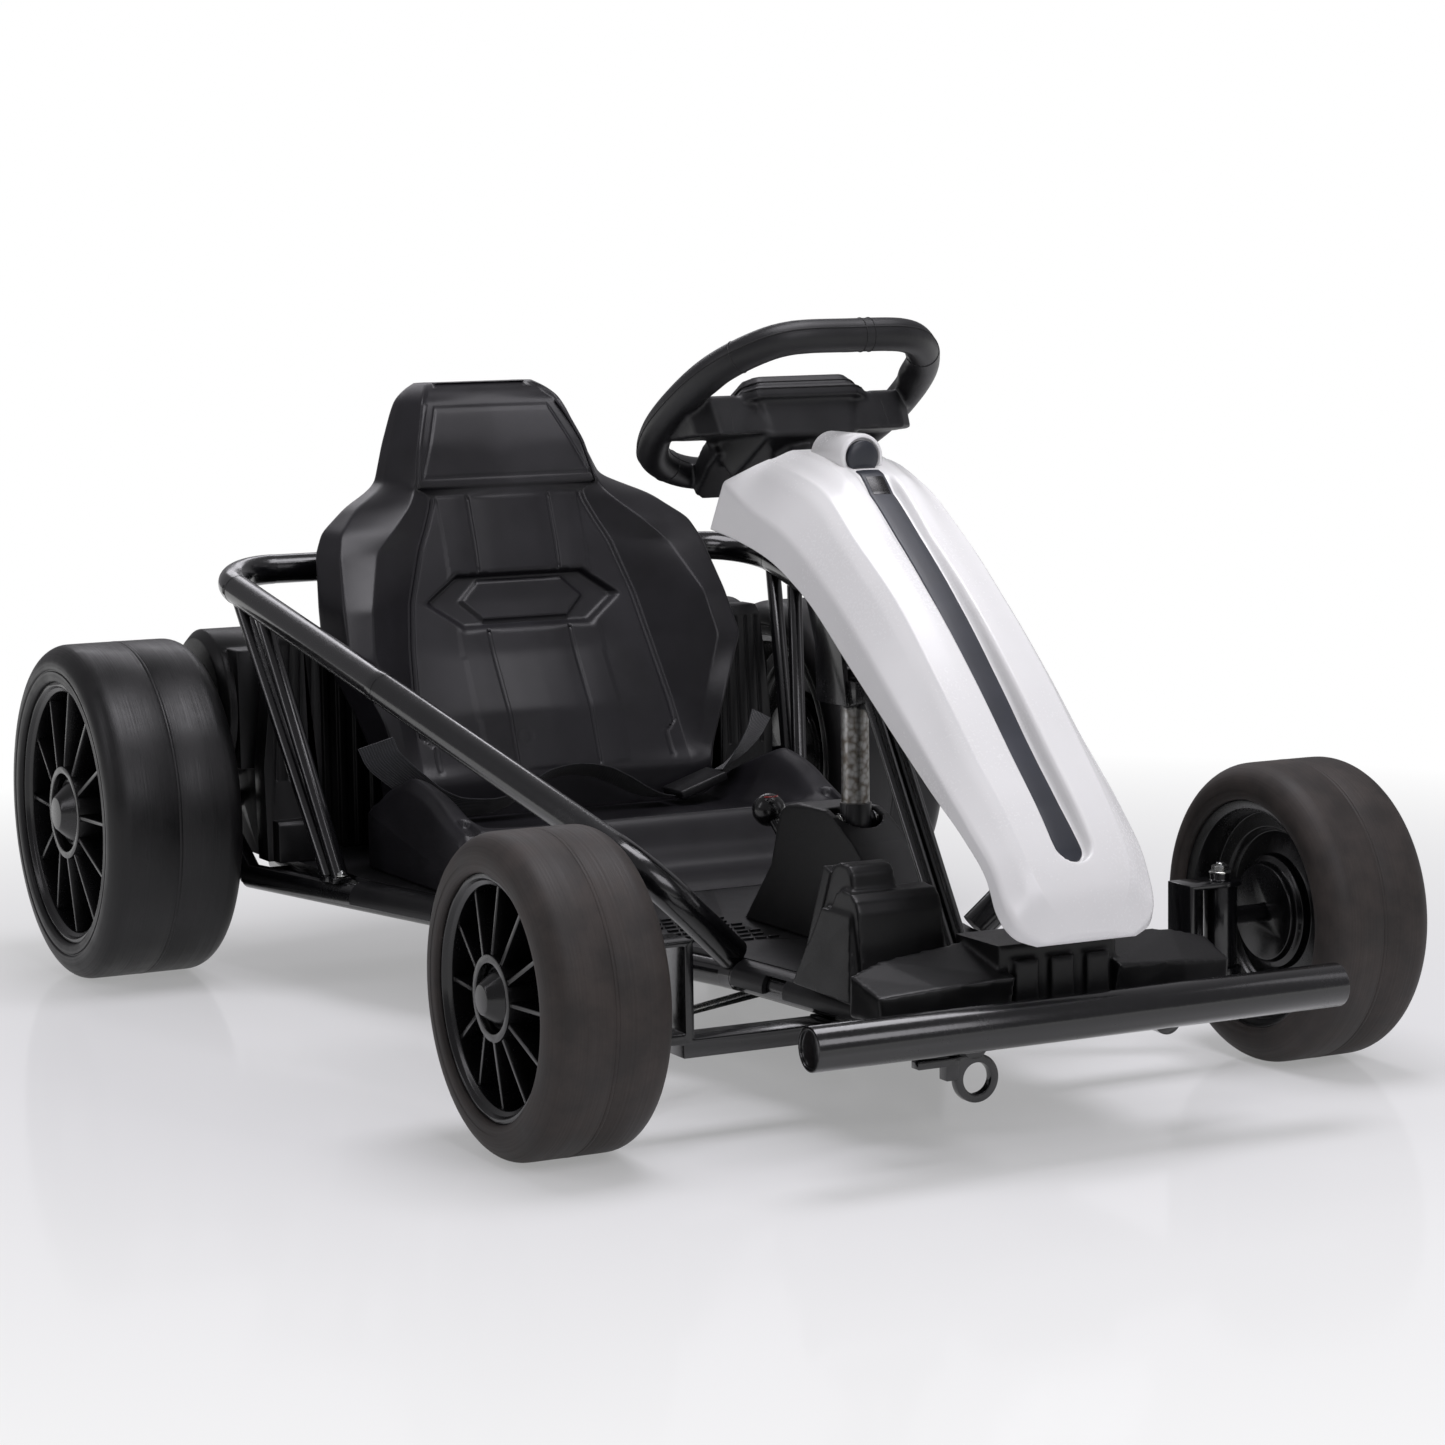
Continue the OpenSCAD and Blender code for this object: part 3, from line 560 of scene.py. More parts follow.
@dataclass(frozen=True)
class Webbing:
    """Woven polyester strap: threads cross on the piece's own UV map, whose
    unit is a metre, and threads of 0.6 mm are drawn at 1.6 mm to show. The raised threads are
    painted lighter and the low ones darker, as painted highlight and shade on the weave."""

    name: str = "woven_polyester_strap"
    base: str = "#141518"
    # colour of the raised threads: lighter than the base as a painted highlight, the base darker in
    # the low threads as painted shade
    raised: str = "#303136"
    thread: float = 1.6

    def build(self) -> bpy.types.Material:
        """Builds the weave.

        Returns:
            The material.
        """
        look, tree, shader = blank(self.name)
        place = add(tree, "ShaderNodeUVMap", uv_map="strap").outputs[0]
        count = 1 / (self.thread * MM)
        weft = add(tree, "ShaderNodeTexWave", {"Vector": place, "Scale": count * 0.31,
                                               "Distortion": 0.4, "Detail": 1.0},
                   wave_type="BANDS", bands_direction="Y")
        warp = add(tree, "ShaderNodeTexWave", {"Vector": place, "Scale": count * 0.18,
                                               "Distortion": 0.3},
                   wave_type="BANDS", bands_direction="X")
        weave = add(tree, "ShaderNodeMath", {0: weft.outputs[1], 1: warp.outputs[1]},
                    operation="MULTIPLY_ADD")
        tree.links.new(warp.outputs[1], weave.inputs[2])
        cloud = add(tree, "ShaderNodeTexNoise", {"Vector": place, "Scale": 60.0})
        # colour follows the weave's height, raised threads painted lighter and low ones darker as
        # painted highlight and shade, times a random mottle
        weave_shade_and_mottle = add(tree, "ShaderNodeMath", {0: weave.outputs[0], 1: cloud.outputs[0]},
                   operation="MULTIPLY")
        shade = add(tree, "ShaderNodeMix", {0: weave_shade_and_mottle.outputs[0], 6: linear(self.base),
                                            7: linear(self.raised)}, data_type="RGBA")
        relief = add(tree, "ShaderNodeBump", {"Strength": 0.7, "Distance": 0.5 * MM,
                                              "Height": weave.outputs[0]})
        tree.links.new(shade.outputs[2], shader.inputs["Base Color"])
        tree.links.new(relief.outputs[0], shader.inputs["Normal"])
        shader.inputs["Roughness"].default_value = 0.75
        shader.inputs["Sheen Weight"].default_value = 0.25
        return look


@dataclass(frozen=True)
class ShaftPaint:
    """Zinc-dipped steel shaft: bare in its middle, with the mottled crystals of
    the dip, and painted black above a ragged edge and below its clamp. Both
    heights are in m."""

    name: str = "zinc_dipped_steel"
    zinc: str = "#a3a3a0"
    stain: str = "#6a645c"
    paint: str = "#121316"
    edge_z: float = 0.327
    clamp_z: float = 0.243

    def build(self) -> bpy.types.Material:
        """Builds the two finishes and the edge between them.

        Returns:
            The material.
        """
        look, tree, shader = blank(self.name)
        spot = add(tree, "ShaderNodeTexCoord").outputs["Object"]
        cells = add(tree, "ShaderNodeTexVoronoi", {"Vector": spot, "Scale": 190.0})
        cloud = add(tree, "ShaderNodeTexNoise", {"Vector": spot, "Scale": 120.0, "Detail": 6.0})
        mix = add(tree, "ShaderNodeMath", {0: cells.outputs[0], 1: cloud.outputs[0]},
                  operation="MULTIPLY")
        dirt = add(tree, "ShaderNodeMapRange", {0: mix.outputs[0], 1: 0.12, 2: 0.42})
        metal = add(tree, "ShaderNodeMix", {0: dirt.outputs[0], 6: linear(self.zinc),
                                            7: linear(self.stain)}, data_type="RGBA")
        split = add(tree, "ShaderNodeSeparateXYZ", {0: spot})
        rag = add(tree, "ShaderNodeMath", {0: cloud.outputs[0], 1: 0.03, 2: split.outputs[2]},
                  operation="MULTIPLY_ADD")
        top = add(tree, "ShaderNodeMapRange", {0: rag.outputs[0], 1: self.edge_z + 0.013,
                                               2: self.edge_z + 0.017})
        low = add(tree, "ShaderNodeMapRange", {0: split.outputs[2], 1: self.clamp_z,
                                               2: self.clamp_z + 0.002, 3: 1.0, 4: 0.0})
        painted = add(tree, "ShaderNodeMath", {0: top.outputs[0], 1: low.outputs[0]},
                      operation="MAXIMUM")
        bare = add(tree, "ShaderNodeMath", {0: 1.0, 1: painted.outputs[0]}, operation="SUBTRACT")
        shade = add(tree, "ShaderNodeMix", {0: painted.outputs[0], 6: metal.outputs[2],
                                            7: linear(self.paint)}, data_type="RGBA")
        relief = add(tree, "ShaderNodeBump", {"Strength": 0.5, "Distance": 0.4 * MM,
                                              "Height": cloud.outputs[0]})
        rough = add(tree, "ShaderNodeMapRange", {0: cloud.outputs[0], 3: 0.22, 4: 0.55})
        tree.links.new(shade.outputs[2], shader.inputs["Base Color"])
        tree.links.new(bare.outputs[0], shader.inputs["Metallic"])
        tree.links.new(rough.outputs[0], shader.inputs["Roughness"])
        tree.links.new(relief.outputs[0], shader.inputs["Normal"])
        return look


def spun(name: str, base: str, other: str, rough: float, centre: tuple) -> Finish:
    """A tyre rubber whose fine lines run round the wheel's own axle.

    Args:
        name: name of the material.
        base: main colour.
        other: colour mottled in.
        rough: middle roughness.
        centre: the wheel's middle in the axle frame.

    Returns:
        The finish.
    """
    return Finish(name, base, other, rough, 0.09, Pattern.SPUN, 1.6, 0.25, mottle=35,
                  sheen=0.35, centre=(centre[0] + AXLE_SHIFT, centre[1], centre[2]))


class Finishes:
    """The kart's finishes, each named for its material and how it was made."""

    def __init__(self) -> None:
        """Builds each material once."""
        # each edge colour below is a painted highlight on the sharp outer edges
        moulded, coated = Pattern.MOULDED, Pattern.COATED
        # polypropylene moulded in a fine-sparked tool: soft wide highlights;
        # the real grain of 0.3 mm is drawn at 1.1 mm so that it shows
        self.plastic = Finish("moulded_polypropylene", "#0b0b0c", "#111112", 0.4, 0.07,
                              moulded, 1.1, 0.12, edge="#2c2c2f", sheen=0.32).build()
        # the seat's plastic is a little smoother and shows wiped marks
        self.seat = Finish("satin_moulded_polypropylene", "#141316", "#1b1a1e", 0.38, 0.07,
                           moulded, 1.3, 0.08, mottle=90, edge="#2a2a2d",
                           sheen=0.34).build()
        # the wheel is moulded soft-touch: a little greyer and more even than the seat
        self.wheel = Finish("soft_touch_moulded_grip", "#131315", "#1a1a1c", 0.44, 0.05,
                            moulded, 0.9, 0.08, mottle=50, sheen=0.36).build()
        # powder coat on steel tube: tight bright highlights with slight orange peel
        self.coat = Finish("gloss_powder_coated_steel", "#08080a", "#0d0d0f", 0.22, 0.06,
                           coated, 3.0, 0.12, coat=0.4).build()
        # white ABS: semi-gloss, almost even, a trace of cream and grey
        self.white = Finish("semi_gloss_white_abs", "#ebebea", "#e6e6e5", 0.26, 0.03,
                            moulded, 2.2, 0.02, mottle=160).build()
        # slate insert: satin ABS with a light spark grain
        self.slate = Finish("satin_slate_abs", "#25282f", "#2b2e37", 0.4, 0.05,
                            moulded, 1.1, 0.08).build()
        # rims: gloss black nylon, moulded
        self.rim = Finish("gloss_moulded_nylon", "#070708", "#0c0c0e", 0.24, 0.05,
                          moulded, 1.8, 0.05, edge="#2c2c30").build()
        # parting lines: matte and nearly black, as a shadow gap looks
        self.gap = Finish("shadow_gap_plastic", "#08080a", "#0d0d0f", 0.7, 0.05,
                          moulded, 1.0, 0.05).build()
        # zinc-plated fasteners: bright with a yellow-blue tinge
        self.zinc = Finish("zinc_plated_steel", "#b9b9b4", "#8f9295", 0.28, 0.1,
                           coated, 0.8, 0.05, metal=1.0, mottle=6).build()
        # lever's arc: plain red moulded inlay
        self.red = Finish("red_moulded_inlay", "#a3231f", "#8c1d1a", 0.35, 0.05,
                          moulded, 1.0, 0.05).build()
        self.strap = Webbing().build()
        self.shaft = ShaftPaint().build()


@dataclass
class Tyre:
    """A slick tyre: a closed profile carried round the axle. Seat is the radius
    at which it sits on its rim, shoulder the radius of its round corner."""

    node: str
    body: str
    centre: tuple[float, float, float]
    radius: float
    seat: float
    width: float
    shoulder: float = 21.0
    turns: int = 180

    def profile(self) -> np.ndarray:
        """The tyre's section as distance from the axle and along it: seat,
        bead lip, side with a raised rib, round shoulder, tread with a seam.

        Returns:
            Closed line of points.
        """
        w, r, s, c = self.width / 2, self.radius - 0.3, self.seat, self.shoulder
        a = np.linspace(0, np.pi / 2, 13)
        arc = np.stack([r - c + c * np.sin(a), -w + c - c * np.cos(a)], -1)
        side = np.array([[s + 0.3, -w + 5], [s + 0.8, -w + 2], [s + 3, -w + 0.7],
                         [s + 7, -w + 0.3], [s + 10.6, -w + 0.3], [s + 11.4, -w + 1.5],
                         [s + 12.4, -w + 1.5], [s + 13.2, -w + 0.2], [r - c - 2, -w]])
        tread = np.array([[r + 0.1, -w / 2], [r + 0.1, -2.6], [r - 0.35, -1.7],
                          [r + 0.25, -0.8]])
        half = np.concatenate([side, arc, tread])
        return np.concatenate([half, half[::-1] * [1, -1]])

    def build(self, look: bpy.types.Material) -> None:
        """Revolves the profile and dresses the tyre.

        Args:
            look: the wheel's own rubber.
        """
        line = self.profile()
        a = np.linspace(0, 2 * np.pi, self.turns + 1)[:-1][:, None]
        rings = np.stack([self.centre[0] + line[:, 0] * np.cos(a),
                          self.centre[1] + np.broadcast_to(line[:, 1], (self.turns, len(line))),
                          self.centre[2] + line[:, 0] * np.sin(a)], -1)
        piece = Shell.loop(self.node + "_slick", rings, 50)
        dress(piece, self.body, look, self.node)


BACK_ROWS = [
    # z, panel half width and x, inner ridge, outer ridge, side half width and x, back x
    [118.1, 148, -760.3, 160, -760.3, 166, -760.3, 176, -800, -835],
    [198, 150, -760.3, 165, -760.3, 175, -760.3, 185, -800, -838],
    [212, 150, -772, 166, -767, 177, -763, 187, -801, -842],
    [262, 147, -798, 172, -775, 192, -765, 205, -810, -868],
    [327, 138, -829, 194, -782, 221, -783, 232, -830, -890],
    [372, 130, -847, 188, -800, 216, -808, 228, -850, -902],
    [425, 112, -864, 165, -840, 206, -840, 218, -880, -910],
    [446, 101, -873, 143, -850, 198, -856, 208, -888, -912],
    [470, 90, -883, 116, -868, 168, -884, 176, -902, -926],
    [484, 88, -887, 106, -880, 138, -905, 144, -920, -938],
    [492, 90, -889, 103, -880, 124, -918, 129, -936, -948],
    [530, 84, -903, 95, -894, 110, -932, 114, -950, -962],
    [562, 74, -919, 83, -911, 98, -942, 101, -956, -977],
    [576, 69, -927, 78, -920, 91, -948, 94, -959, -980],
    [585, 63, -936, 71, -931, 80, -953, 83, -962, -981],
    [590, 61, -944, 66, -941, 72, -957, 75, -965, -980],
    [592.5, 58.5, -951, 62, -950, 66, -960, 68, -967, -978],
]
# the front panel's middle line: z, x
MIDDLE_X = [[118, -760.3], [198, -760.3], [210, -764], [261, -781], [319, -821], [372, -848],
            [430, -864], [478, -881], [523, -899], [562, -918], [576, -926], [585, -935],
            [590, -943], [592.5, -951]]


@dataclass
class SeatBack:
    """Moulded seat back: a ring of front panel, bolsters, sides and rear at
    each height, with sewn-look channels, a six-sided recess and headrest panel."""

    # the channels' distance from the middle; then the recess and the raised pad
    # in it, each as half width at its tips, half width at its flats, half height
    seam_y: float = 46.0
    recess: tuple[float, float, float] = (113.0, 72.0, 30.0)
    pad: tuple[float, float, float] = (70.0, 48.0, 21.0)
    recess_z: float = 370.0
    recess_depth: float = 8.0
    recess_lean: float = 17.0
    head_z: float = 530.0
    head_lean: float = 26.0
    head_panel: list = field(default_factory=lambda: [(-95, -37), (95, -37), (65, 41), (-65, 41)])
    # a round ejector mark's place and radius
    mark: tuple[float, float, float] = (-34.0, 236.0, 7.0)
    rows: int = 250

    @staticmethod
    def hexagon(tip: float, flat: float, high: float) -> list:
        """Corners of a six-sided outline with a point at each side."""
        return [(-tip, 0), (-flat, -high), (flat, -high), (tip, 0), (flat, high), (-flat, high)]

    def relief(self, y: np.ndarray, z: np.ndarray) -> np.ndarray:
        """Depth of the front's mould work in mm, below zero into the seat: two
        channels, a six-sided recess with a raised pad, and the headrest panel.

        Args:
            y: places across.
            z: heights.

        Returns:
            Depths.
        """
        tall = (z - self.recess_z) / math.cos(math.radians(self.recess_lean))
        six = outline_distance(y, tall, self.hexagon(*self.recess))
        pad = outline_distance(y, tall, self.hexagon(*self.pad))
        # the recess, then the pad raised in it
        deep = -self.recess_depth * (1 - step(-6, 0, six))
        deep = deep + 4.2 * (1 - step(-2.5, 1.5, pad))
        # the channels, and the slight crown beside them, outside the recess
        near = np.abs(np.abs(y) - self.seam_y)
        span = step(202, 206, z) * (1 - step(474, 478, z)) * step(0, 3, six)
        deep = deep - span * 2.4 * np.exp(-((near / 1.5) ** 2))
        deep = deep + span * 0.9 * (1 - np.exp(-((near / 12) ** 2))) * (np.abs(y) < 80)
        # the headrest panel's groove, and its face a little proud of the rest
        rise = (z - self.head_z) / math.cos(math.radians(self.head_lean))
        head = outline_distance(y, rise, self.head_panel)
        deep = deep - 1.3 * np.exp(-((head / 1.3) ** 2))
        deep = deep + 2.6 * step(484.5, 488.5, z) * (1 - step(530, 590, z))
        mark_y, mark_z, mark_r = self.mark
        mark = np.hypot(y - mark_y, z - mark_z)
        return deep - 0.7 * np.exp(-(((mark - mark_r) / 1.2) ** 2))

    def build(self, looks: Finishes) -> None:
        """Lofts the rings, presses the relief in and dresses the seat back.

        Each column of the table is read in straight lines between its rows and
        averaged under a bell curve, each ring runs through the places it gives
        with round corners, and the relief moves the front along X.

        Args:
            looks: the kart's finishes.
        """
        table, mid = np.array(BACK_ROWS, float), np.array(MIDDLE_X)
        z = np.linspace(table[0, 0], table[-1, 0], self.rows)
        kernel = np.exp(-((np.arange(-6, 7) / 2.6) ** 2))
        kernel /= kernel.sum()

        def soft(at: np.ndarray, values: np.ndarray) -> np.ndarray:
            """One column at the rings' heights, averaged under the bell curve."""
            line = np.pad(np.interp(z, at, values), 6, mode="reflect", reflect_type="odd")
            return np.convolve(line, kernel, "valid")

        mx = soft(mid[:, 0], mid[:, 1])
        w1, x1, w2, x2, w3, x3, w4, x4, xb = [soft(table[:, 0], column)
                                              for column in table[:, 1:].T]
        # on the headrest the panel widens nearly to the bolsters' inner ridge
        head = step(478, 488, z) * (1 - step(572, 582, z))
        w1, x1 = w1 + (w2 - 5 - w1) * head, x1 + (x2 - 3 - x1) * head
        # places across half the panel: even to the channel, close together over
        # it, even again, and close together at the panel's edge
        seam = self.seam_y
        fixed = np.concatenate([np.linspace(0, seam - 5, 16),
                                np.linspace(seam - 4, seam + 4, 11)])
        stretch = np.linspace(0, 1, 31)[1:]
        end = w1 - 3.5
        y = np.concatenate([np.broadcast_to(fixed, (len(z), len(fixed))),
                            (seam + 5) + (end - seam - 11)[:, None] * stretch,
                            end[:, None] - np.linspace(5, 0, 6)], axis=1)
        y = np.minimum(y, end[:, None] * np.linspace(0.2, 1, y.shape[1]) ** 0.02)
        x = mx[:, None] + (x1 - mx)[:, None] * (y / w1[:, None]) ** 1.5
        panel = np.stack([x, y], -1)
        corner = np.stack([np.stack([x1, w1], -1), np.stack([x2, w2], -1),
                           np.stack([x3, w3], -1), np.stack([x4, w4], -1),
                           np.stack([x4 * 0.45 + xb * 0.55, w4 * 0.9], -1),
                           np.stack([xb, w4 * 0.72], -1), np.stack([xb, w4 * 0.0], -1)], 1)
        line = np.concatenate([panel[:, -1:], corner], axis=1)
        flank = rounded(line, [0, 4, 2.5, 3, 5, 12, 12, 0], [0, 9, 9, 4, 6, 3, 6], 8)
        half = np.concatenate([panel, flank[:, 1:-1]], axis=1)
        ring = np.concatenate([half, half[:, :0:-1] * [1, -1]], axis=1)
        tall = np.broadcast_to(z[:, None], ring.shape[:2])
        press = self.relief(ring[..., 1], tall)
        front = np.abs(ring[..., 1]) < (w1[:, None] + 1)
        front &= ring[..., 0] > (x1 + xb)[:, None] / 2
        # the channel along the panel's edge, set further in near the tub
        notch = 13 * (1 - step(228, 241, tall)) + 2.2
        edge = np.abs(np.abs(ring[..., 1]) - end[:, None] + notch)
        press = press - 2.2 * np.exp(-((edge / 1.4) ** 2)) * step(203, 207, tall) * (
            1 - step(474, 478, tall))
        places = np.stack([ring[..., 0] + np.where(front, press, 0), ring[..., 1], tall], -1)
        piece = Shell.rings("seat_back_shell", places, 50)
        Shell.soften(piece, 4.0, 55, 4)
        dress(piece, CHASSIS, looks.seat, "seat_back")


# the tub's stations along X, from its rear
TUB_X = [-759.7, -745, -715, -690, -660, -625, -600, -575, -550, -536]
TUB_ROWS = [
    # half width, then heights at the ten stations
    [0, 160, 160, 160, 160, 160, 161, 164, 170, 180, 182],
    [110, 160, 160, 160, 160, 160, 161, 164, 171, 180, 182],
    [158, 163, 163, 163, 164, 165, 166, 168, 173, 181, 182],
    [176, 172, 173, 176, 180, 184, 184, 182, 180, 182, 182],
    [192, 184, 189, 200, 208, 214, 209, 203, 193, 186, 182],
    [207, 181, 187, 202, 210, 219, 214, 207, 196, 186, 181],
    [216, 172, 178, 190, 199, 206, 202, 195, 186, 177, 172],
]


@dataclass
class SeatTub:
    """Moulded seat tub: heights over a grid of stations, hip wings with a
    rounded slot each, a rolled front lip and a flat foot."""

    foot_z: float = 118.1
    front_x: float = -458.0
    back_x: float = -759.7
    half_width: float = 216.0
    slot: tuple[float, float] = (-548.0, 198.0)
    # stations past the table's: the rolled front lip's x and height
    lip: tuple = ((-512, 152), (-498, 136), (-470, 126))
    across: int = 95
    along: int = 170

    def build(self, looks: Finishes) -> None:
        """Reads the table as a smooth surface, first across and then along, cuts
        the slots and the two seams as narrow dips, and dresses the tub.

        Args:
            looks: the kart's finishes.
        """
        table = np.array(TUB_ROWS, float)
        side = np.linspace(0, self.half_width, self.across)
        heights = pchip(table[:, 0], table[:, 1:], side)
        front = np.array([*self.lip, (self.front_x, self.foot_z)], float)
        xs = np.concatenate([TUB_X, front[:, 0]])
        heights = np.concatenate(
            [heights, np.broadcast_to(front[:, 1], (len(side), len(front)))], 1)
        run = np.linspace(xs[0], self.front_x - 0.2, self.along)
        z = pchip(xs, heights.T, run).T
        y = side[:, None] + 0 * run[None, :]
        # the slot: places near a line 18 mm long are pressed down 7 mm
        reach = np.hypot(np.maximum(np.abs(run[None, :] - self.slot[0]) - 9, 0),
                         y - self.slot[1])
        z = z - 7 * (1 - step(4.2, 6.2, reach))
        # narrow seams: one along each side of the rear half, one across between them
        ridge = np.abs(y - 128)
        z = z - 0.9 * np.exp(-((ridge / 1.8) ** 2)) * (1 - step(-560, -548, run[None, :]))
        cross = np.abs(run[None, :] + 590 + 0 * y)
        z = z - 0.9 * np.exp(-((cross / 2.2) ** 2)) * (1 - step(122, 128, y))
        top = np.stack([run[None, :] + 0 * y, y, z], -1)
        floor = np.stack([np.array([self.front_x, self.back_x])[None, :] + 0 * y[:, :2],
                          y[:, :2], np.full((len(side), 2), self.foot_z)], -1)
        half = np.concatenate([top, floor], axis=1)
        rings = np.concatenate([half[:0:-1] * [1, -1, 1], half], axis=0)
        piece = Shell.rings("seat_tub_shell", rings, 50)
        Shell.soften(piece, 2.5, 50, 3)
        dress(piece, CHASSIS, looks.seat, "seat_base")


COVER_ROWS = [
    # top edge x y z, crease x y z, lower edge x y z
    [-205, 56, 546, -222, 88, 528, -245, 90, 484],
    [-173, 60, 542, -185, 84, 507, -200, 86, 476],
    [-110, 55, 525, -130, 80, 488, -150, 84, 464],
    [-43, 57, 483, -70, 78, 455, -88, 82, 436],
    [21, 55, 437, -5, 77, 409, -22, 80, 389],
    [88, 56, 378, 66, 77, 354, 52, 80, 338],
    [148, 55, 319, 134, 76, 302, 122, 79, 290],
    [187, 53, 281, 176, 74, 268, 168, 77, 259],
    [212, 52, 252, 207, 71.5, 239, 200, 74.5, 229],
    [226, 49, 231, 220, 70.5, 217, 211, 74, 207],
    [234, 42, 213, 229, 67, 202, 220, 71, 193],
    [237.5, 32, 197, 234, 58, 190, 227, 63, 183],
    [239, 20, 184, 237, 42, 180, 232, 47, 177],
]
# how far the top's middle stands over its edges: x, height
CROWN = [[-205, 10], [-110, 11], [-43, 4], [21, 2.5], [240, 1.5]]
# the stripe's middle line: x, z
STRIPE = [[-112, 538], [-94, 521], [-40, 480], [16, 434], [69, 384], [121, 331], [173, 281],
          [203, 251]]


@dataclass(frozen=True)
class Slope:
    """The cover's sections down its slope: their distances, the table's rows
    there, the directions square to the top, the stripe's height over the top
    edge, and the numbers of the sections at the stripe's two ends."""

    s: np.ndarray
    row: np.ndarray
    normal: np.ndarray
    over: np.ndarray
    first: int
    last: int

    def strip(self, at: np.ndarray, half: np.ndarray | float, shape: list) -> np.ndarray:
        """Rings of a strip in the channel: its outline carried down the slope,
        its height read square to the top.

        Args:
            at: distances down the slope.
            half: what the outline's places across are multiplied by, at each.
            shape: outline as place across and height over the stripe's line.

        Returns:
            One ring of points at each distance.
        """
        x, z, nx, nz, over = [np.interp(at, self.s, column)[:, None] for column in
                              (self.row[:, 0], self.row[:, 2], self.normal[:, 0],
                               self.normal[:, 2], self.over)]
        line = np.array(shape, float)
        up = over + line[None, :, 1]
        return np.stack([x + nx * up, half * line[:, 0] + 0 * up, z + nz * up], -1)


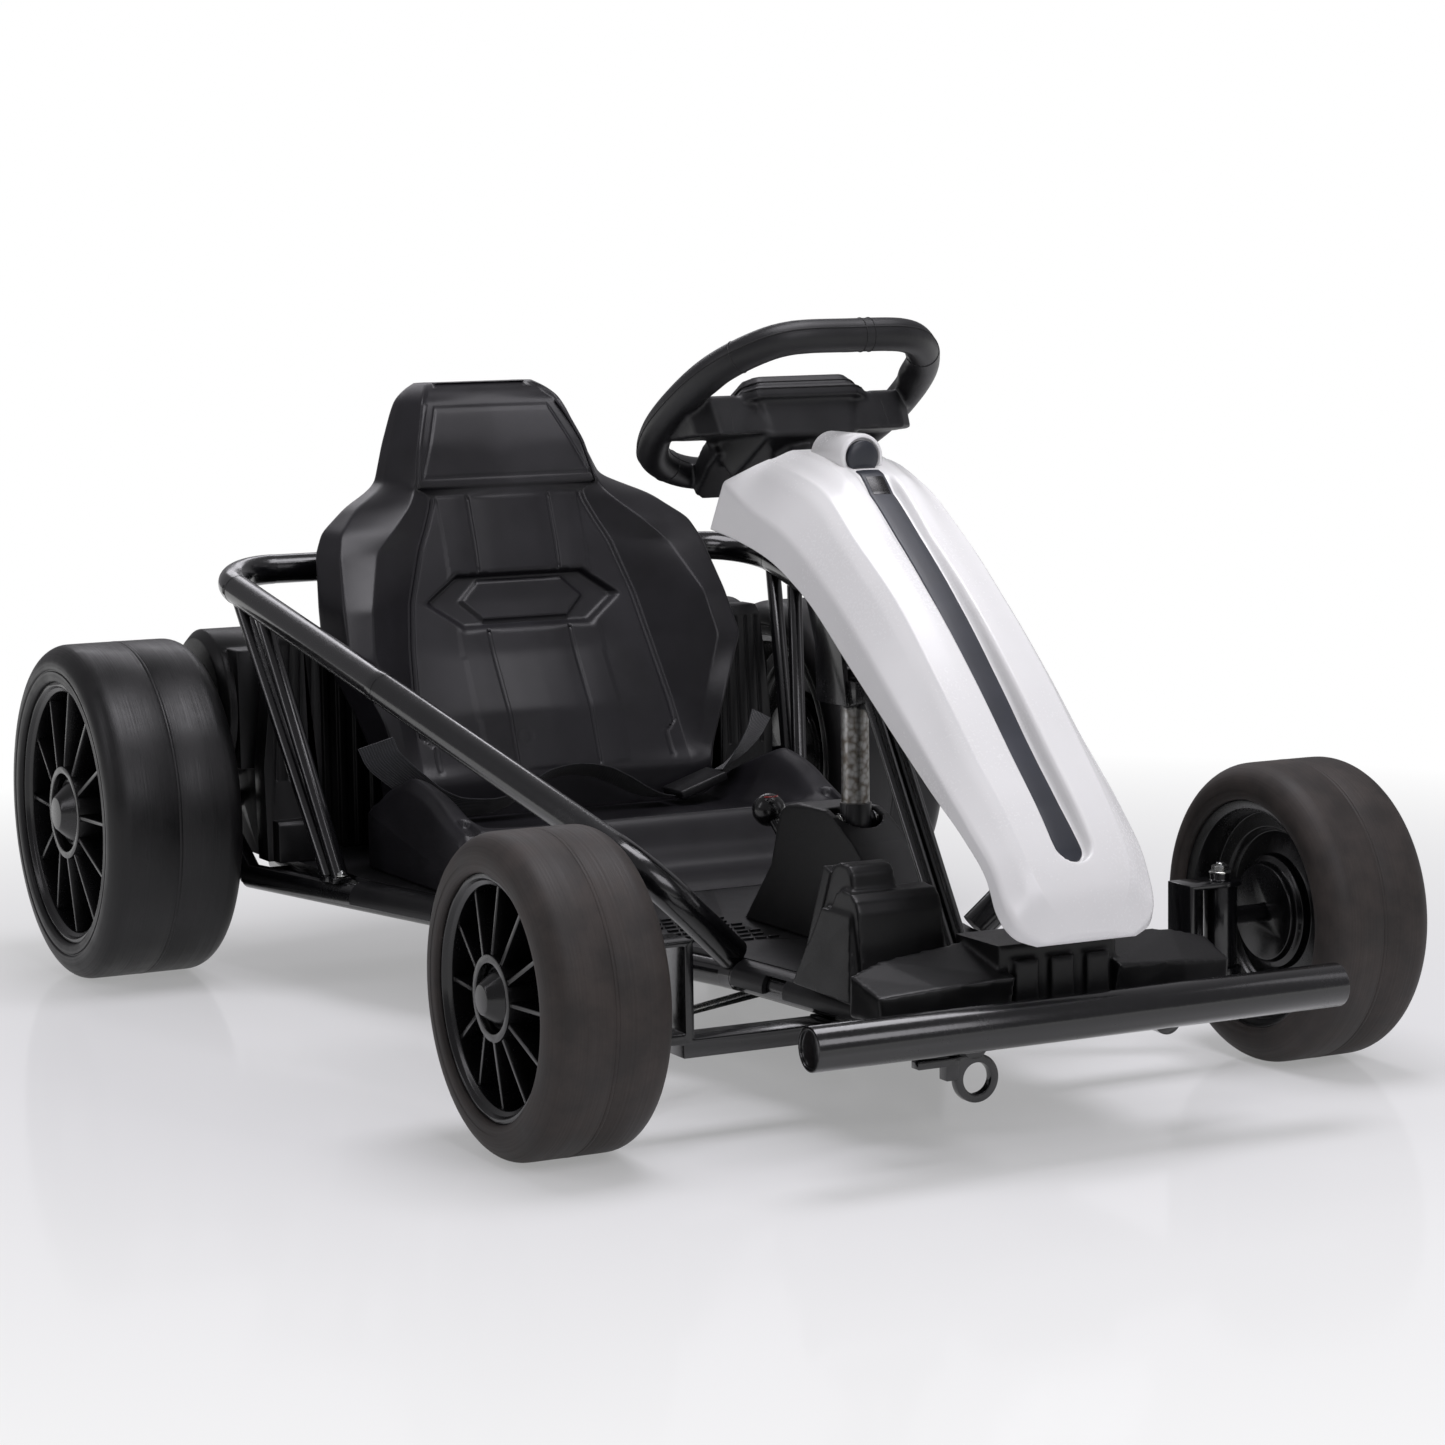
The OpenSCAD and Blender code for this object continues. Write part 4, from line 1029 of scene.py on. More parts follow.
@dataclass
class ColumnCover:
    """White column cover: a thin shell over sections along its slope, with a
    channel for the slate stripe, a round boss and a dark plug."""

    wall: float = 3.2
    stripe_half: float = 11.5
    channel_half: float = 18.3
    rows: int = 230
    boss_z: float = 550.0

    def sections(self) -> Slope:
        """Reads the table down the slope by distance between its top edges.

        Returns:
            The sections.
        """
        table = np.array(COVER_ROWS, float)
        gap = np.hypot(np.diff(table[:, 0]), np.diff(table[:, 2]))
        knots = np.concatenate([[0], np.cumsum(gap)])
        s = np.linspace(0, knots[-1], self.rows)
        row = pchip(knots, table, s)
        n = np.stack([row[:, 0] - row[:, 6], row[:, 2] - row[:, 8]], -1)
        n /= np.linalg.norm(n, axis=1, keepdims=True)
        line = np.array(STRIPE, float)
        far = np.hypot(line[:, None, 0] - row[None, :, 0], line[:, None, 1] - row[None, :, 2])
        k = far.argmin(1)
        over = ((line - row[k][:, [0, 2]]) * n[k]).sum(1)
        normal = np.stack([n[:, 0], 0 * n[:, 0], n[:, 1]], -1)
        return Slope(s, row, normal, np.interp(s, s[k], over), k[0], k[-1])

    def build(self, looks: Finishes) -> None:
        """Builds the shell, stripe, boss and plug.

        Each section runs with round corners through the lower edge, the crease
        and the top edge; the top bulges by a smooth step from its edges, and is
        pressed down to the stripe's line wherever the distance from that line
        is under the channel's half width.

        Args:
            looks: the kart's finishes.
        """
        slope = self.sections()
        s, row, normal, over = slope.s, slope.row, slope.normal, slope.over
        edge = row[:, 0:3] * [1, -1, 1]
        crease, low = row[:, 3:6] * [1, -1, 1], row[:, 6:9] * [1, -1, 1]
        # a rounded shoulder a fifth of the way from the top edge to the crease
        near = edge * 0.8 + crease * 0.2
        start = edge + [0, 4, 0] + normal
        side = rounded(np.stack([low, crease, near, start], 1), [0, 4, 5, 0], [9, 8, 3], 9)
        y = np.linspace(-1, 1, 79)[None, :] * np.abs(start[:, 1:2])
        bulge = np.interp(row[:, 0], np.array(CROWN)[:, 0], np.array(CROWN)[:, 1])[:, None]
        part = step(0, 1, (np.abs(start[:, 1:2]) - np.abs(y)) / 24)
        height = 1 + (bulge - 1) * part
        # one inside the channel, falling to nought at its rim and above its top
        past = np.maximum(s[:, None] - s[slope.last], 0)
        reach = np.hypot(past, y)
        mask = 1 - step(self.stripe_half + 1.2, self.channel_half + 1.0, reach)
        mask = mask * step(s[slope.first] - 20, s[slope.first] - 10, s[:, None])
        height = height * (1 - mask) + (over[:, None] - 1.6) * mask
        top = edge[:, None] * [1, 0, 1] + y[..., None] * [0, 1, 0]
        top = top + height[..., None] * normal[:, None]
        section = np.concatenate([side[:, :-1], top, (side[:, :-1] * [1, -1, 1])[:, ::-1]], 1)
        rows, cols = section.shape[:2]
        faces = grid_faces(rows, cols, False).tolist()
        faces.append(list(range((rows - 1) * cols, rows * cols)))
        piece = Shell.mesh("column_cover_shell", section.reshape(-1, 3), faces, 50)
        work = bmesh.new()
        work.from_mesh(piece.data)
        # an open shell's volume doesn't say which way its faces point
        if sum(f.normal.z for f in work.faces) < 0:
            bmesh.ops.reverse_faces(work, faces=work.faces)
        work.to_mesh(piece.data)
        work.free()
        wall = piece.modifiers.new("wall", "SOLIDIFY")
        wall.thickness, wall.offset, wall.use_even_offset = self.wall * MM, -1, True
        Shell.bake(piece, 50)
        Shell.soften(piece, 0.9, 60, 2)
        dress(piece, CHASSIS, looks.white, "column_cover")
        self.stripe(slope, looks)
        self.boss(looks)

    def stripe(self, slope: Slope, looks: Finishes) -> None:
        """The slate stripe and the dark window in its upper end: strips in the
        channel, the stripe's half width following a circle past its lower end.

        Args:
            slope: the cover's sections.
            looks: the kart's finishes.
        """
        top, foot = slope.s[slope.first], slope.s[slope.last]
        far = foot + self.stripe_half
        t = np.concatenate([np.linspace(top - 8, foot, 150),
                            far - self.stripe_half * (1 - np.sin(np.linspace(0.08, 1.5, 12)))])
        past = np.maximum(t - foot, 0)
        half = np.sqrt(np.maximum(self.stripe_half**2 - past**2, 0.2))
        rings = slope.strip(t, half[:, None], [
            [-1, -2.6], [-1, -0.7], [-0.95, -0.15], [-0.88, 0], [-0.4, 0.25], [0, 0.3],
            [0.4, 0.25], [0.88, 0], [0.95, -0.15], [1, -0.7], [1, -2.6]])
        dress(Shell.rings("stripe_insert", rings, 50), CHASSIS, looks.slate, "column_insert")
        rings = slope.strip(np.linspace(top + 4, top + 25, 12), 1.0, [
            [-8.5, -0.6], [-8.5, 0.4], [-8.2, 0.5], [8.2, 0.5], [8.5, 0.4], [8.5, -0.6]])
        dress(Shell.rings("stripe_window", rings, 40), CHASSIS, looks.rim)

    def boss(self, looks: Finishes) -> None:
        """The boss and its plug: profiles, as x and radius, turned about a line
        along X; the plug's foot is cut flat at a share of its radius.

        Args:
            looks: the kart's finishes.
        """
        shapes = {
            "cover_boss": (looks.white, [[-184, 0.5], [-184, 19], [-182, 21], [-130, 21],
                                         [-127.6, 20.4], [-126.4, 19.2], [-126.2, 17.6],
                                         [-127, 16.7], [-130, 16.5], [-130, 0.5]]),
            "boss_plug": (looks.slate, [[-129.6, 0.5], [-129.6, 15], [-125.6, 15], [-124.6, 14.6],
                                        [-123.8, 13.4], [-123.2, 8], [-123, 0.5]]),
        }
        a = np.linspace(0, 2 * np.pi, 73)[:-1][None, :]
        for name, (look, line) in shapes.items():
            p = np.array(line, float)
            flat = -0.66 if name == "boss_plug" else -1.0
            rings = np.stack([p[:, :1] + 0 * a, p[:, 1:] * np.cos(a),
                              self.boss_z + p[:, 1:] * np.maximum(np.sin(a), flat)], -1)
            dress(Shell.rings(name, rings, 45), CHASSIS, look)


@dataclass
class SteeringWheel:
    """Moulded steering wheel: a ring, pad, brow and spokes melted to one skin,
    with its parting lines."""

    # distance of the ring's plane up the column from its joint
    plane: float = 241.0
    ring_r: float = 15.0
    # right half of the ring's middle line, and the points round the ring
    half: tuple = ((132, 0), (130, 54), (111, 83), (72, 106), (19, 115), (-40, 113), (-91, 94),
                   (-124, 50), (-131, 0))
    around: int = 32
    # the thumb rests' place and half width in steps of the path
    thumb: tuple[float, float] = (45.0, 5.0)
    # steps of the path at which the grip's halves meet
    joints: tuple = (3, 5, 33, 187, 131, 89)
    # place across the wheel at which a sloping foot has its lower height
    hinge_x: float = 35.0
    prisms: tuple = (
        # lower height, its rise per mm to the rear, upper height, draft, right half
        (-46, 0, -8, 0.86, ((38, 0), (38, -46), (32, -54), (-56, -54), (-70, -44), (-70, 0))),
        (-12, 0, 0, 1.0, ((43, 0), (43, -50), (34, -63), (-50, -62), (-66, -48), (-66, 0))),
        (-2, 0, 13, 1.12, ((37, 0), (37, -42), (28, -54), (-36, -56), (-50, -44), (-50, 0))),
        (-43, 0.42, -4, 0.97, ((34, 0), (34, -60), (35, -96), (20, -113), (-32, -113),
                               (-43, -96), (-46, -62), (-46, 0))),
        (-24, 0, -2, 1.0, ((-44, 0), (-44, -58), (-72, -56), (-126, -44), (-134, -34),
                           (-134, 0))),
        (-70, 0, -40, 1.0, ((24, 0), (17, -17), (0, -24), (-17, -17), (-24, 0))),
    )

    def ring_path(self, count: int = 220) -> np.ndarray:
        """Middle line of the ring in its own plane: a closed cubic through the
        half outline and its mirror image, each span's ends sloping as the line
        between its neighbours does.

        Args:
            count: number of points.

        Returns:
            The points.
        """
        half = list(self.half)
        p = np.array(half + [(x, -y) for x, y in half[-2:0:-1]], float)
        k = len(p)
        t = np.linspace(0, k, count, endpoint=False)
        i, f = t.astype(int), (t % 1)[:, None]
        a, b, c, d = p[(i - 1) % k], p[i % k], p[(i + 1) % k], p[(i + 2) % k]
        return 0.5 * (2 * b + (c - a) * f + (2 * a - 5 * b + 4 * c - d) * f**2
                      + (3 * b - a - 3 * c + d) * f**3)

    def frame_at(self) -> tuple[np.ndarray, np.ndarray]:
        """Finds which way is out at each point of the ring's path.

        Returns:
            The path and the outward directions.
        """
        path = self.ring_path()
        along = np.roll(path, -1, 0) - np.roll(path, 1, 0)
        out = np.stack([along[:, 1], -along[:, 0]], -1)
        out /= np.linalg.norm(out, axis=1, keepdims=True)
        return path, out * np.sign((out * path).sum(1)).mean()

    def skin(self) -> bpy.types.Object:
        """The ring as a circle carried round its path, swelling inwards at the
        thumb rests, and each prism as an outline drawn in at its foot by its
        draft, the foot rising towards the rear by its slope.

        Returns:
            The melted wheel.
        """
        path, out = self.frame_at()
        a = np.linspace(0, 2 * np.pi, self.around + 1)[:-1][None, :, None]
        place = np.arange(len(path))
        off = np.minimum(np.abs(place - self.thumb[0]),
                         np.abs(len(path) - place - self.thumb[0])) / self.thumb[1]
        bump = 1 + 0.32 * np.exp(-(off**2))[:, None, None] * np.maximum(-np.cos(a), 0)
        flat = path[:, None] + out[:, None] * self.ring_r * np.cos(a) * bump
        ring = np.concatenate([flat, self.ring_r * np.sin(a) + 0 * flat[..., :1]], -1)
        points = [ring.reshape(-1, 3)]
        cells = grid_faces(len(path) + 1, self.around, True)
        faces = (cells % (len(path) * self.around)).tolist()
        base = len(points[0])
        for low, slope, high, draft, side in self.prisms:
            outline = np.array(side + tuple((x, -y) for x, y in side[-2:0:-1]), float)
            n = len(outline)
            top = np.column_stack([outline, np.full(n, high)])
            foot = np.column_stack([outline * draft,
                                    low + slope * (self.hinge_x - outline[:, 0])])
            points.append(np.concatenate([top, foot]))
            faces += (grid_faces(2, n, True) + base).tolist()
            faces += [list(range(base, base + n))[::-1], list(range(base + n, base + 2 * n))]
            base += 2 * n
        everything = column_point(np.concatenate(points), self.plane)
        name = "steering_wheel_moulding"
        data = bpy.data.meshes.new(name)
        data.from_pydata(((everything + [AXLE_SHIFT, 0, 0]) * MM).tolist(), [], faces)
        work = bmesh.new()
        work.from_mesh(data)
        bmesh.ops.recalc_face_normals(work, faces=work.faces)
        work.to_mesh(data)
        work.free()
        return Shell.remesh(Shell.link(name, data, 40), 1.8, 10)

    def seam(self, name: str, line: np.ndarray, radius: float, closed: bool,
             looks: Finishes) -> None:
        """Lays a thin dark cord along a parting line.

        Args:
            name: name of the piece.
            line: points over the wheel's plane.
            radius: radius of the cord.
            closed: whether the line is a ring.
            looks: the kart's finishes.
        """
        dress(Shell.tube(name, column_point(line, self.plane), radius, closed), WHEEL, looks.gap)

    def build(self, looks: Finishes) -> None:
        """Builds the wheel and its seam lines.

        Args:
            looks: the kart's finishes.
        """
        dress(self.skin(), WHEEL, looks.wheel, "steering_wheel")
        path, out = self.frame_at()
        for name, off in (("ring_seam_outer", self.ring_r - 0.35),
                          ("ring_seam_inner", 0.5 - self.ring_r)):
            flat = path + out * off
            self.seam(name, np.column_stack([flat, 0 * flat[:, 0]]), 0.8, True, looks)
        a = np.linspace(0, 2 * np.pi, 49)[:-1]
        for i, k in enumerate(self.joints):
            side = np.append(out[k], 0)
            ring = np.append(path[k], 0) + (self.ring_r - 0.2) * (
                np.cos(a)[:, None] * side + np.sin(a)[:, None] * [0, 0, 1])
            self.seam(f"ring_joint_{i + 1}", ring, 0.6, True, looks)
        for name, x, wide, high in (("pad_seam", 43.0, 62.6, -3.0), ("brow_seam", 39.4, 58.2, 5.0)):
            corners = [(-50, -wide - 1, high), (x - 10, -wide, high), (x, 11 - wide, high),
                       (x, wide - 11, high), (x - 10, wide, high), (-50, wide + 1, high)]
            line = rounded(np.array(corners, float)[None], [0, 5, 5, 5, 5, 0], [8] * 5, 8)[0]
            self.seam(name, line, 0.7, False, looks)
        for name, sign in (("spoke_seam_right", -1), ("spoke_seam_left", 1)):
            line = np.array([(33.0, 79 * sign, -41), (33.6, 78 * sign, -24),
                             (33.5, 76 * sign, -5), (-44, 80 * sign, -4)], float)
            line = rounded(line[None], [0, 4, 3, 0], [8] * 3, 6)[0]
            self.seam(name, line, 0.7, False, looks)


# the straps' paths over the seat, y and z, from the slot to the buckle, and how
# far each is turned about its path on the way, in degrees
STRAP_RIGHT = [(-217, 246), (-210, 230), (-196, 216), (-176, 200), (-154, 184), (-128, 174),
               (-100, 172), (-74, 177), (-50, 190), (-26, 200), (0, 203), (26, 200), (52, 189),
               (74, 176), (92, 169), (106, 167)]
TURN_RIGHT = [58, 44, 36, 30, 26, 20, 8]
STRAP_LEFT = [(217, 246), (210, 230), (200, 217), (188, 206), (176, 198), (163, 190)]
TURN_LEFT = [62, 50, 34, 12]


@dataclass
class LapBelt:
    """A flat woven strap laid along a path, with its own UV map in metres."""

    name: str
    node: str
    path: list
    turned: list
    middle_x: float = -731.0
    width: float = 38.0
    thick: float = 1.5

    def build(self, looks: Finishes) -> None:
        """Carries the strap's section along the smoothed path: at each point the
        width runs along X turned round the path by so many degrees, and the
        strap cups across its width by half a millimetre at most.

        Args:
            looks: the kart's finishes.
        """
        knots = np.array(self.path, float)
        run = np.concatenate([[0], np.cumsum(np.linalg.norm(np.diff(knots, axis=0), axis=1))])
        t = np.linspace(0, run[-1], 150)
        line = pchip(run, knots, t)
        line[:, 1] += 1.2
        along = np.gradient(line, axis=0)
        along /= np.linalg.norm(along, axis=1, keepdims=True)
        up = np.stack([-along[:, 1], along[:, 0]], -1)
        up *= np.sign(up[:, 1:2] + 1e-9)
        v = np.linspace(-1, 1, 15)
        share = np.linspace(0, 1, len(self.turned))
        turn = np.radians(pchip(share, np.array(self.turned, float), t / run[-1]))[:, None]
        wide = np.concatenate([np.cos(turn), np.sin(turn) * up], 1)
        thick = np.concatenate([-np.sin(turn), np.cos(turn) * up], 1)
        middle = np.column_stack([np.full_like(t, self.middle_x), line])
        cup = 0.5 * np.sin(t / 17)[:, None] * v[None, :] ** 2
        sheet = (middle[:, None] + wide[:, None] * v[:, None] * self.width / 2
                 + thick[:, None] * cup[..., None])
        thin = self.thick / 2 * np.sqrt(np.clip(1 - np.abs(v) ** 10, 0.15, 1))
        top = sheet + thick[:, None] * thin[None, :, None]
        low = sheet - thick[:, None] * thin[None, :, None]
        rings = np.concatenate([top, low[:, ::-1]], 1)
        piece = Shell.rings(self.name, rings, 60)
        layer = piece.data.uv_layers.new(name="strap")
        pick = np.zeros(len(piece.data.loops), np.int32)
        piece.data.loops.foreach_get("vertex_index", pick)
        u = np.concatenate([v, v[::-1]])[pick % rings.shape[1]] * self.width / 2 * MM
        layer.data.foreach_set("uv", np.stack([u, t[pick // rings.shape[1]] * MM],
                                              -1).ravel())
        dress(piece, CHASSIS, looks.strap, self.node)


@dataclass
class Fasteners:
    """Zinc bolts and nuts: a washer, a six-sided head and a stud end, turned to
    each place's own axis and joined to one mesh for each body."""

    name: str
    body: str
    places: list
    around: int = 24

    def build(self, looks: Finishes) -> None:
        """Places each bolt, whose columns are x, y, z, the axis and the size: its
        profile, as height and radius in sizes, carried round the axis, with a
        radius over the cosine of the angle from a flat's middle on the head.

        Args:
            looks: the kart's finishes.
        """
        a = np.linspace(0, 2 * np.pi, self.around + 1)[:-1]
        hexed = 1 / np.cos((a % (np.pi / 3)) - np.pi / 6)
        disc = np.ones_like(a)
        profile = [(0, 0.02, disc), (0, 1.25, disc), (0.14, 1.25, disc), (0.18, 1.2, disc),
                   (0.18, 0.86, hexed), (0.72, 0.86, hexed), (0.84, 0.82, disc),
                   (0.84, 0.45, disc), (1.05, 0.45, disc), (1.12, 0.38, disc),
                   (1.12, 0.02, disc)]
        points, faces = [], []
        for x, y, z, axis, size in self.places:
            w = np.array(axis, float)
            w /= np.linalg.norm(w)
            u = np.cross(w, [0.2, 0.9, 0.4])
            u /= np.linalg.norm(u)
            v = np.cross(w, u)
            rings = np.array([np.array([x, y, z]) + size * (h * w + (r * f * np.cos(a))[:, None]
                              * u + (r * f * np.sin(a))[:, None] * v) for h, r, f in profile])
            base = len(points) * rings.shape[0] * self.around
            cells = grid_faces(rings.shape[0], self.around, True) + base
            last = base + (rings.shape[0] - 1) * self.around
            faces += cells.tolist()
            faces += [list(range(base, base + self.around))[::-1],
                      list(range(last, last + self.around))]
            points.append(rings.reshape(-1, 3))
        dress(Shell.mesh(self.name, np.concatenate(points), faces, 35), self.body, looks.zinc)


@dataclass
class RearPanel:
    """Closing panel behind the seat, between the battery and a motor cover: a
    plate whose front is ribbed, carried across from side to side."""

    side: int
    inner: float = 150.6
    outer: float = 239.0
    front_x: float = -896.0
    back_x: float = -912.0
    low: float = 118.4
    high: float = 333.0
    ribs: int = 5

    def build(self, looks: Finishes) -> None:
        """Carries a rounded upright section across, its front set back between ribs.

        Args:
            looks: the kart's finishes.
        """
        y = np.linspace(self.inner, self.outer, 90)
        share = (y - self.inner) / (self.outer - self.inner)
        rib = np.cos(share * self.ribs * 2 * np.pi)
        front = self.front_x - 2.4 * step(-0.6, 0.4, -rib)
        back = np.full_like(y, self.back_x)
        low, high = np.full_like(y, self.low), np.full_like(y, self.high)
        corners = np.stack([np.stack([back, low], -1), np.stack([back, high], -1),
                            np.stack([front, high], -1), np.stack([front, low], -1),
                            np.stack([front - 3, low], -1)], 1)
        line = rounded(corners, [0, 5, 5, 2, 0], [6, 2, 8, 0], 6)
        rings = np.stack([line[..., 0], self.side * y[:, None] + 0 * line[..., 0],
                          line[..., 1]], -1)
        name = "rear_panel_left" if self.side > 0 else "rear_panel_right"
        dress(Shell.rings(name, rings, 50), CHASSIS, looks.plastic)


@dataclass
class RearRail:
    """Frame tube that runs on from a side rail's bend to the rear panel."""

    side: int
    radius: float = 12.0
    path: tuple = ((-742, 246, 104), (-800, 252, 104), (-880, 252, 104), (-930, 246, 104))

    def build(self, looks: Finishes) -> None:
        """Carries a circle along the rounded path.

        Args:
            looks: the kart's finishes.
        """
        line = rounded(np.array(self.path, float)[None], [0, 25, 25, 0], [12] * 3, 9)[0]
        name = "rear_rail_left" if self.side > 0 else "rear_rail_right"
        dress(Shell.tube(name, line * [1, self.side, 1], self.radius, False, 24), CHASSIS,
              looks.coat)


@dataclass
class Lever:
    """The ball lever's red arc, a bead on the crown of the ball."""

    centre: tuple[float, float, float] = (-309.0, 0.0, 216.0)
    radius: float = 15.5

    def build(self, looks: Finishes) -> None:
        """Lays the arc on the ball, on the side that faces the driver's right.

        Args:
            looks: the kart's finishes.
        """
        a = np.linspace(-1.0, 1.0, 24)
        tip = math.radians(58)
        ring = np.stack([np.cos(a) * math.cos(tip), np.sin(a) * math.cos(tip),
                         np.full_like(a, math.sin(tip))], -1) * (self.radius - 0.4)
        dress(Shell.tube("lever_arc", ring + self.centre, 1.0, False), CHASSIS, looks.red)


@dataclass(frozen=True)
class Part:
    """How a CAD node is dressed: body, finish, edge rounding in mm, and, where it
    is remeshed as a moulding, a grid size in mm and the rounds of relaxing."""

    node: str
    body: str
    finish: str
    edge: float = 0.0
    grid: float = 0.0
    passes: int = 6


def part_table() -> list[Part]:
    """Lists the nodes that keep their CAD shape.

    Returns:
        One row for each node.
    """
    rows = [Part("lower_frame", CHASSIS, "coat"), Part("front_beam", CHASSIS, "coat", 0.8),
            Part("front_bumper", CHASSIS, "coat", 1.2), Part("side_hoop", CHASSIS, "coat"),
            Part("column_legs", CHASSIS, "coat", 0.6), Part("rear_axle", CHASSIS, "coat", 0.8),
            Part("floor_pan", CHASSIS, "plastic"), Part("tow_hook", CHASSIS, "coat", 0.8),
            Part("nose_panel", CHASSIS, "plastic", 0, 2.0, 3),
            Part("steering_box", CHASSIS, "plastic", 0, 1.5, 4),
            Part("pedal_housing", CHASSIS, "plastic", 0, 1.8, 4),
            Part("throttle_pedal", CHASSIS, "plastic", 0, 1.4, 4),
            Part("shift_lever", CHASSIS, "rim"), Part("battery_block", CHASSIS, "plastic", 3.0),
            Part("belt_buckle", CHASSIS, "plastic", 2.0),
            Part("upper_shaft", WHEEL, "coat", 0.6),
            Part("lower_shaft", "lower_shaft", "shaft", 0.5)]
    for side in ("right", "left"):
        rows += [Part(f"strut_pair_{side}", CHASSIS, "coat", 0.5),
                 Part(f"motor_cover_{side}", CHASSIS, "plastic", 1.2),
                 Part(f"motor_housing_{side}", CHASSIS, "plastic", 1.5),
                 Part(f"tie_rod_{side}", f"tie_rod_{side}", "zinc", 0.5),
                 Part(f"knuckle_{side}", f"knuckle_{side}", "coat", 0.6)]
        for axle in ("front", "rear"):
            wheel = f"{axle}_wheel_{side}"
            rows += [Part(f"{axle}_rim_{side}", wheel, "rim", 0.7),
                     Part(f"{axle}_cap_{side}", wheel, "rim", 1.0)]
    return rows


@dataclass
class Studio:
    """Pale floor that fades to white, soft lamps and the camera. The camera's
    place is in m, its angles in radians, its lens in mm and its shift in the
    photograph's pixels."""

    eye: tuple[float, float, float] = (3.28347, -1.67858, 0.75135)
    yaw: float = 0.479330
    pitch: float = 0.125092
    roll: float = -0.013819
    lens: float = 97.34
    shift: tuple[float, float] = (-7.779, -4.457)
    floor_reach: float = 14.0

    def camera(self) -> None:
        """Sets the camera by its yaw, pitch and roll: its view runs towards the
        rear and left, and its right and up directions are turned by the roll."""
        c, s = math.cos, math.sin
        view = Vector((-c(self.yaw) * c(self.pitch), s(self.yaw) * c(self.pitch),
                       -s(self.pitch)))
        right = view.cross(Vector((0, 0, 1))).normalized()
        up = right.cross(view)
        turned = c(self.roll) * right + s(self.roll) * up
        upright = c(self.roll) * up - s(self.roll) * right
        data = bpy.data.cameras.new("photo_camera")
        data.lens, data.sensor_width = self.lens, SENSOR
        data.shift_x, data.shift_y = self.shift[0] / PHOTO_SIDE, self.shift[1] / PHOTO_SIDE
        data.clip_end = 50
        camera = bpy.data.objects.new("photo_camera", data)
        bpy.context.scene.collection.objects.link(camera)
        turn = Matrix((turned, upright, -view)).transposed().to_4x4()
        camera.matrix_world = Matrix.Translation(self.eye) @ turn
        bpy.context.scene.camera = camera

    def floor(self) -> None:
        """A large polished floor, pale near the kart and plain white further off."""
        data = bpy.data.meshes.new("studio_floor")
        far = self.floor_reach
        data.from_pydata([(-far, -far, 0), (far, -far, 0), (far, far, 0), (-far, far, 0)], [],
                         [(0, 1, 2, 3)])
        floor = bpy.data.objects.new("studio_floor", data)
        bpy.context.scene.collection.objects.link(floor)
        look, tree, shader = blank("polished_white_board")
        spot = add(tree, "ShaderNodeTexCoord").outputs["Object"]
        cloud = add(tree, "ShaderNodeTexNoise", {"Vector": spot, "Scale": 9.0, "Detail": 4.0})
        rough = add(tree, "ShaderNodeMapRange", {0: cloud.outputs[0], 3: 0.06, 4: 0.14})
        shader.inputs["Base Color"].default_value = linear("#f1f1f3")
        tree.links.new(rough.outputs[0], shader.inputs["Roughness"])
        glow = add(tree, "ShaderNodeEmission", {"Strength": 1.0})
        away = add(tree, "ShaderNodeVectorMath", {0: spot}, operation="LENGTH")
        fade = add(tree, "ShaderNodeMapRange", {0: away.outputs["Value"], 1: 0.6, 2: 1.9,
                                                3: 0.3, 4: 1.0})
        path = add(tree, "ShaderNodeLightPath")
        seen = add(tree, "ShaderNodeMath", {0: path.outputs["Is Camera Ray"],
                                            1: path.outputs["Is Glossy Ray"]},
                   operation="MAXIMUM")
        share = add(tree, "ShaderNodeMath", {0: fade.outputs[0], 1: seen.outputs[0]},
                    operation="MULTIPLY")
        mixed = add(tree, "ShaderNodeMixShader", {0: share.outputs[0], 1: shader.outputs[0],
                                                  2: glow.outputs[0]})
        tree.links.new(mixed.outputs[0], tree.nodes["Material Output"].inputs[0])
        data.materials.append(look)

    def world(self) -> None:
        """White behind the kart, and a softer grey-white light all round."""
        world = bpy.data.worlds.new("studio_world")
        world.use_nodes = True
        tree = world.node_tree
        plain = tree.nodes["Background"]
        plain.inputs[0].default_value = linear("#f7f5fa")
        plain.inputs[1].default_value = 0.3
        white = add(tree, "ShaderNodeBackground", {0: (1, 1, 1, 1), 1: 1.0})
        path = add(tree, "ShaderNodeLightPath")
        mixed = add(tree, "ShaderNodeMixShader", {0: path.outputs["Is Camera Ray"],
                                                  1: plain.outputs[0], 2: white.outputs[0]})
        tree.links.new(mixed.outputs[0], tree.nodes["World Output"].inputs[0])
        bpy.context.scene.world = world

    def lamps(self) -> None:
        """Soft boxes: columns are place, aim, width, height and power in watts."""
        table = {
            "overhead_box": ((0.25, 0.15, 2.3), (-0.1, 0.05, 0.2), 1.5, 1.1, 32),
            "left_box": ((-0.4, -2.4, 1.5), (-0.1, 0.0, 0.3), 0.5, 1.7, 7),
            "rear_box": ((-2.6, 0.6, 1.9), (-0.3, 0.0, 0.4), 1.8, 0.6, 9),
            "right_box": ((1.2, 2.5, 1.4), (0.1, 0.1, 0.3), 0.6, 1.6, 3),
            "front_box": ((3.0, 0.1, 1.9), (0.0, 0.0, 0.3), 1.8, 1.2, 26),
        }
        for name, (spot, aim, wide, tall, power) in table.items():
            data = bpy.data.lights.new(name, "AREA")
            data.shape, data.size, data.size_y, data.energy = "RECTANGLE", wide, tall, power
            data.color = linear("#fbf9ff")[:3]
            lamp = bpy.data.objects.new(name, data)
            lamp.location = spot
            lamp.rotation_euler = (Vector(aim) - Vector(spot)).to_track_quat("-Z", "Y").to_euler()
            bpy.context.scene.collection.objects.link(lamp)

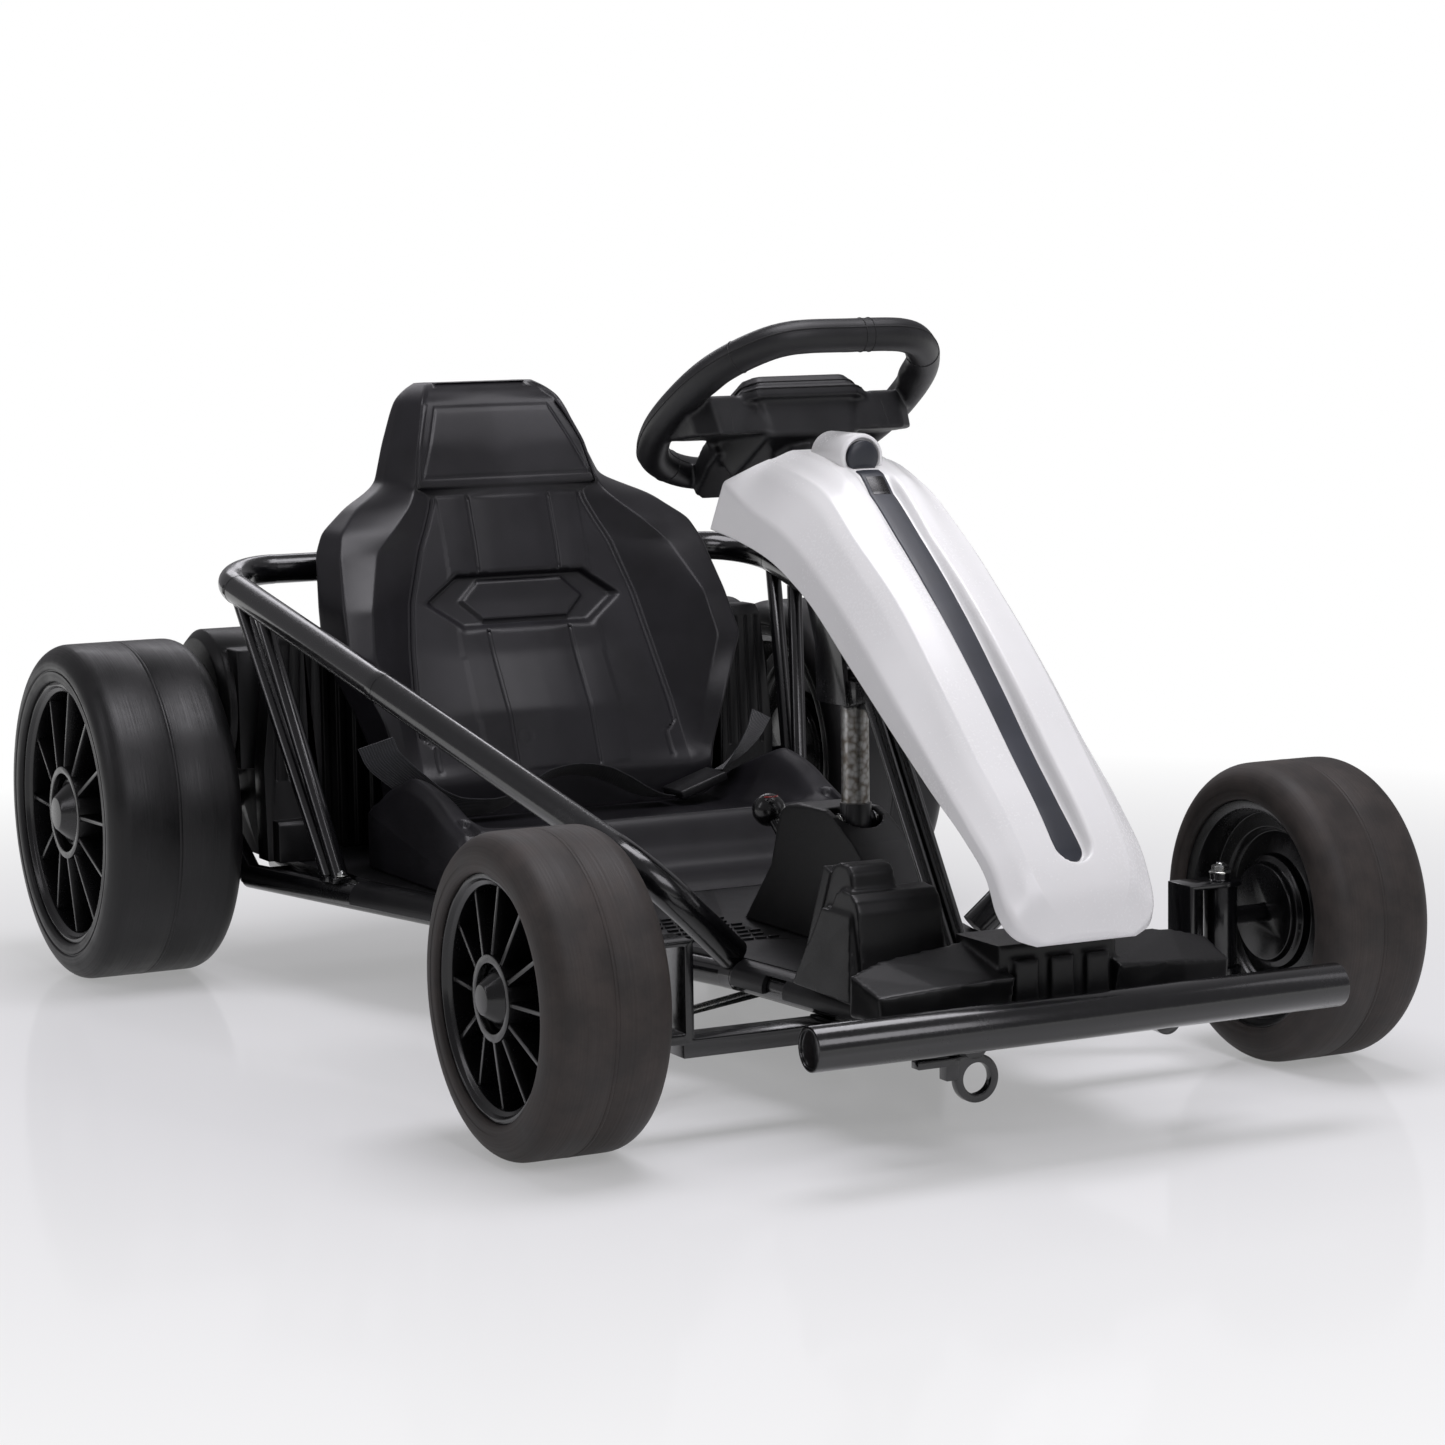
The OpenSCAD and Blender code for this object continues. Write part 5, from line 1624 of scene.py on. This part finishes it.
    def build(self) -> None:
        """Builds the whole studio."""
        self.camera()
        self.floor()
        self.world()
        self.lamps()
        bpy.context.scene.view_settings.view_transform = "Standard"


def main() -> None:
    """Builds each sub-assembly in order and reports each piece."""
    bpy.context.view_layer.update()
    Studio().build()
    looks = Finishes()
    for part in part_table():
        piece = Shell.from_node(part.node)
        if part.grid:
            Shell.remesh(piece, part.grid, part.passes)
        elif part.edge:
            Shell.soften(piece, part.edge, 32)
        dress(piece, part.body, getattr(looks, part.finish), part.node)
    # columns: axle, x, distance from the middle, radius, side's height, width,
    # two colours and roughness
    for axle, x, y, r, h, w, base, other, rough in (
            ("front", 0.0, 371.5, 135.0, 33.0, 110.0, "#2a2624", "#3a3431", 0.6),
            ("rear", -949.0, 405.0, 170.5, 37.5, 140.0, "#0d0d0e", "#141314", 0.42)):
        for side, sign in (("right", -1), ("left", 1)):
            spot = (x, sign * y, r)
            look = spun(f"{axle}_{side}_moulded_rubber", base, other, rough, spot).build()
            Tyre(f"{axle}_tyre_{side}", f"{axle}_wheel_{side}", spot, r, r - h, w).build(look)
    SeatBack().build(looks)
    SeatTub().build(looks)
    ColumnCover().build(looks)
    SteeringWheel().build(looks)
    LapBelt("lap_strap_right", "lap_belt_right", STRAP_RIGHT, TURN_RIGHT).build(looks)
    LapBelt("lap_strap_left", "lap_belt_left", STRAP_LEFT, TURN_LEFT).build(looks)
    Lever().build(looks)
    for sign in (-1, 1):
        RearPanel(sign).build(looks)
        RearRail(sign).build(looks)
    # two bolts through each strut's foot, and a nut on top of each kingpin
    feet = [(-735 + dx, s * 262, 119.5, (0, 0, 1), 4.6) for s in (-1, 1) for dx in (-17, 17)]
    feet += [(0, s * 290, 175.2, (0, 0, 1), 8.0) for s in (-1, 1)]
    Fasteners("frame_bolts", CHASSIS, feet).build(looks)
    Fasteners("shaft_bolt", "lower_shaft", [(-145, -17, 228, (0, -1, 0), 5.5),
                                            (-145, 17, 228, (0, 1, 0), 5.5)]).build(looks)


if __name__ == "__main__":
    logging.basicConfig(level=logging.INFO, format="%(message)s")
    main()
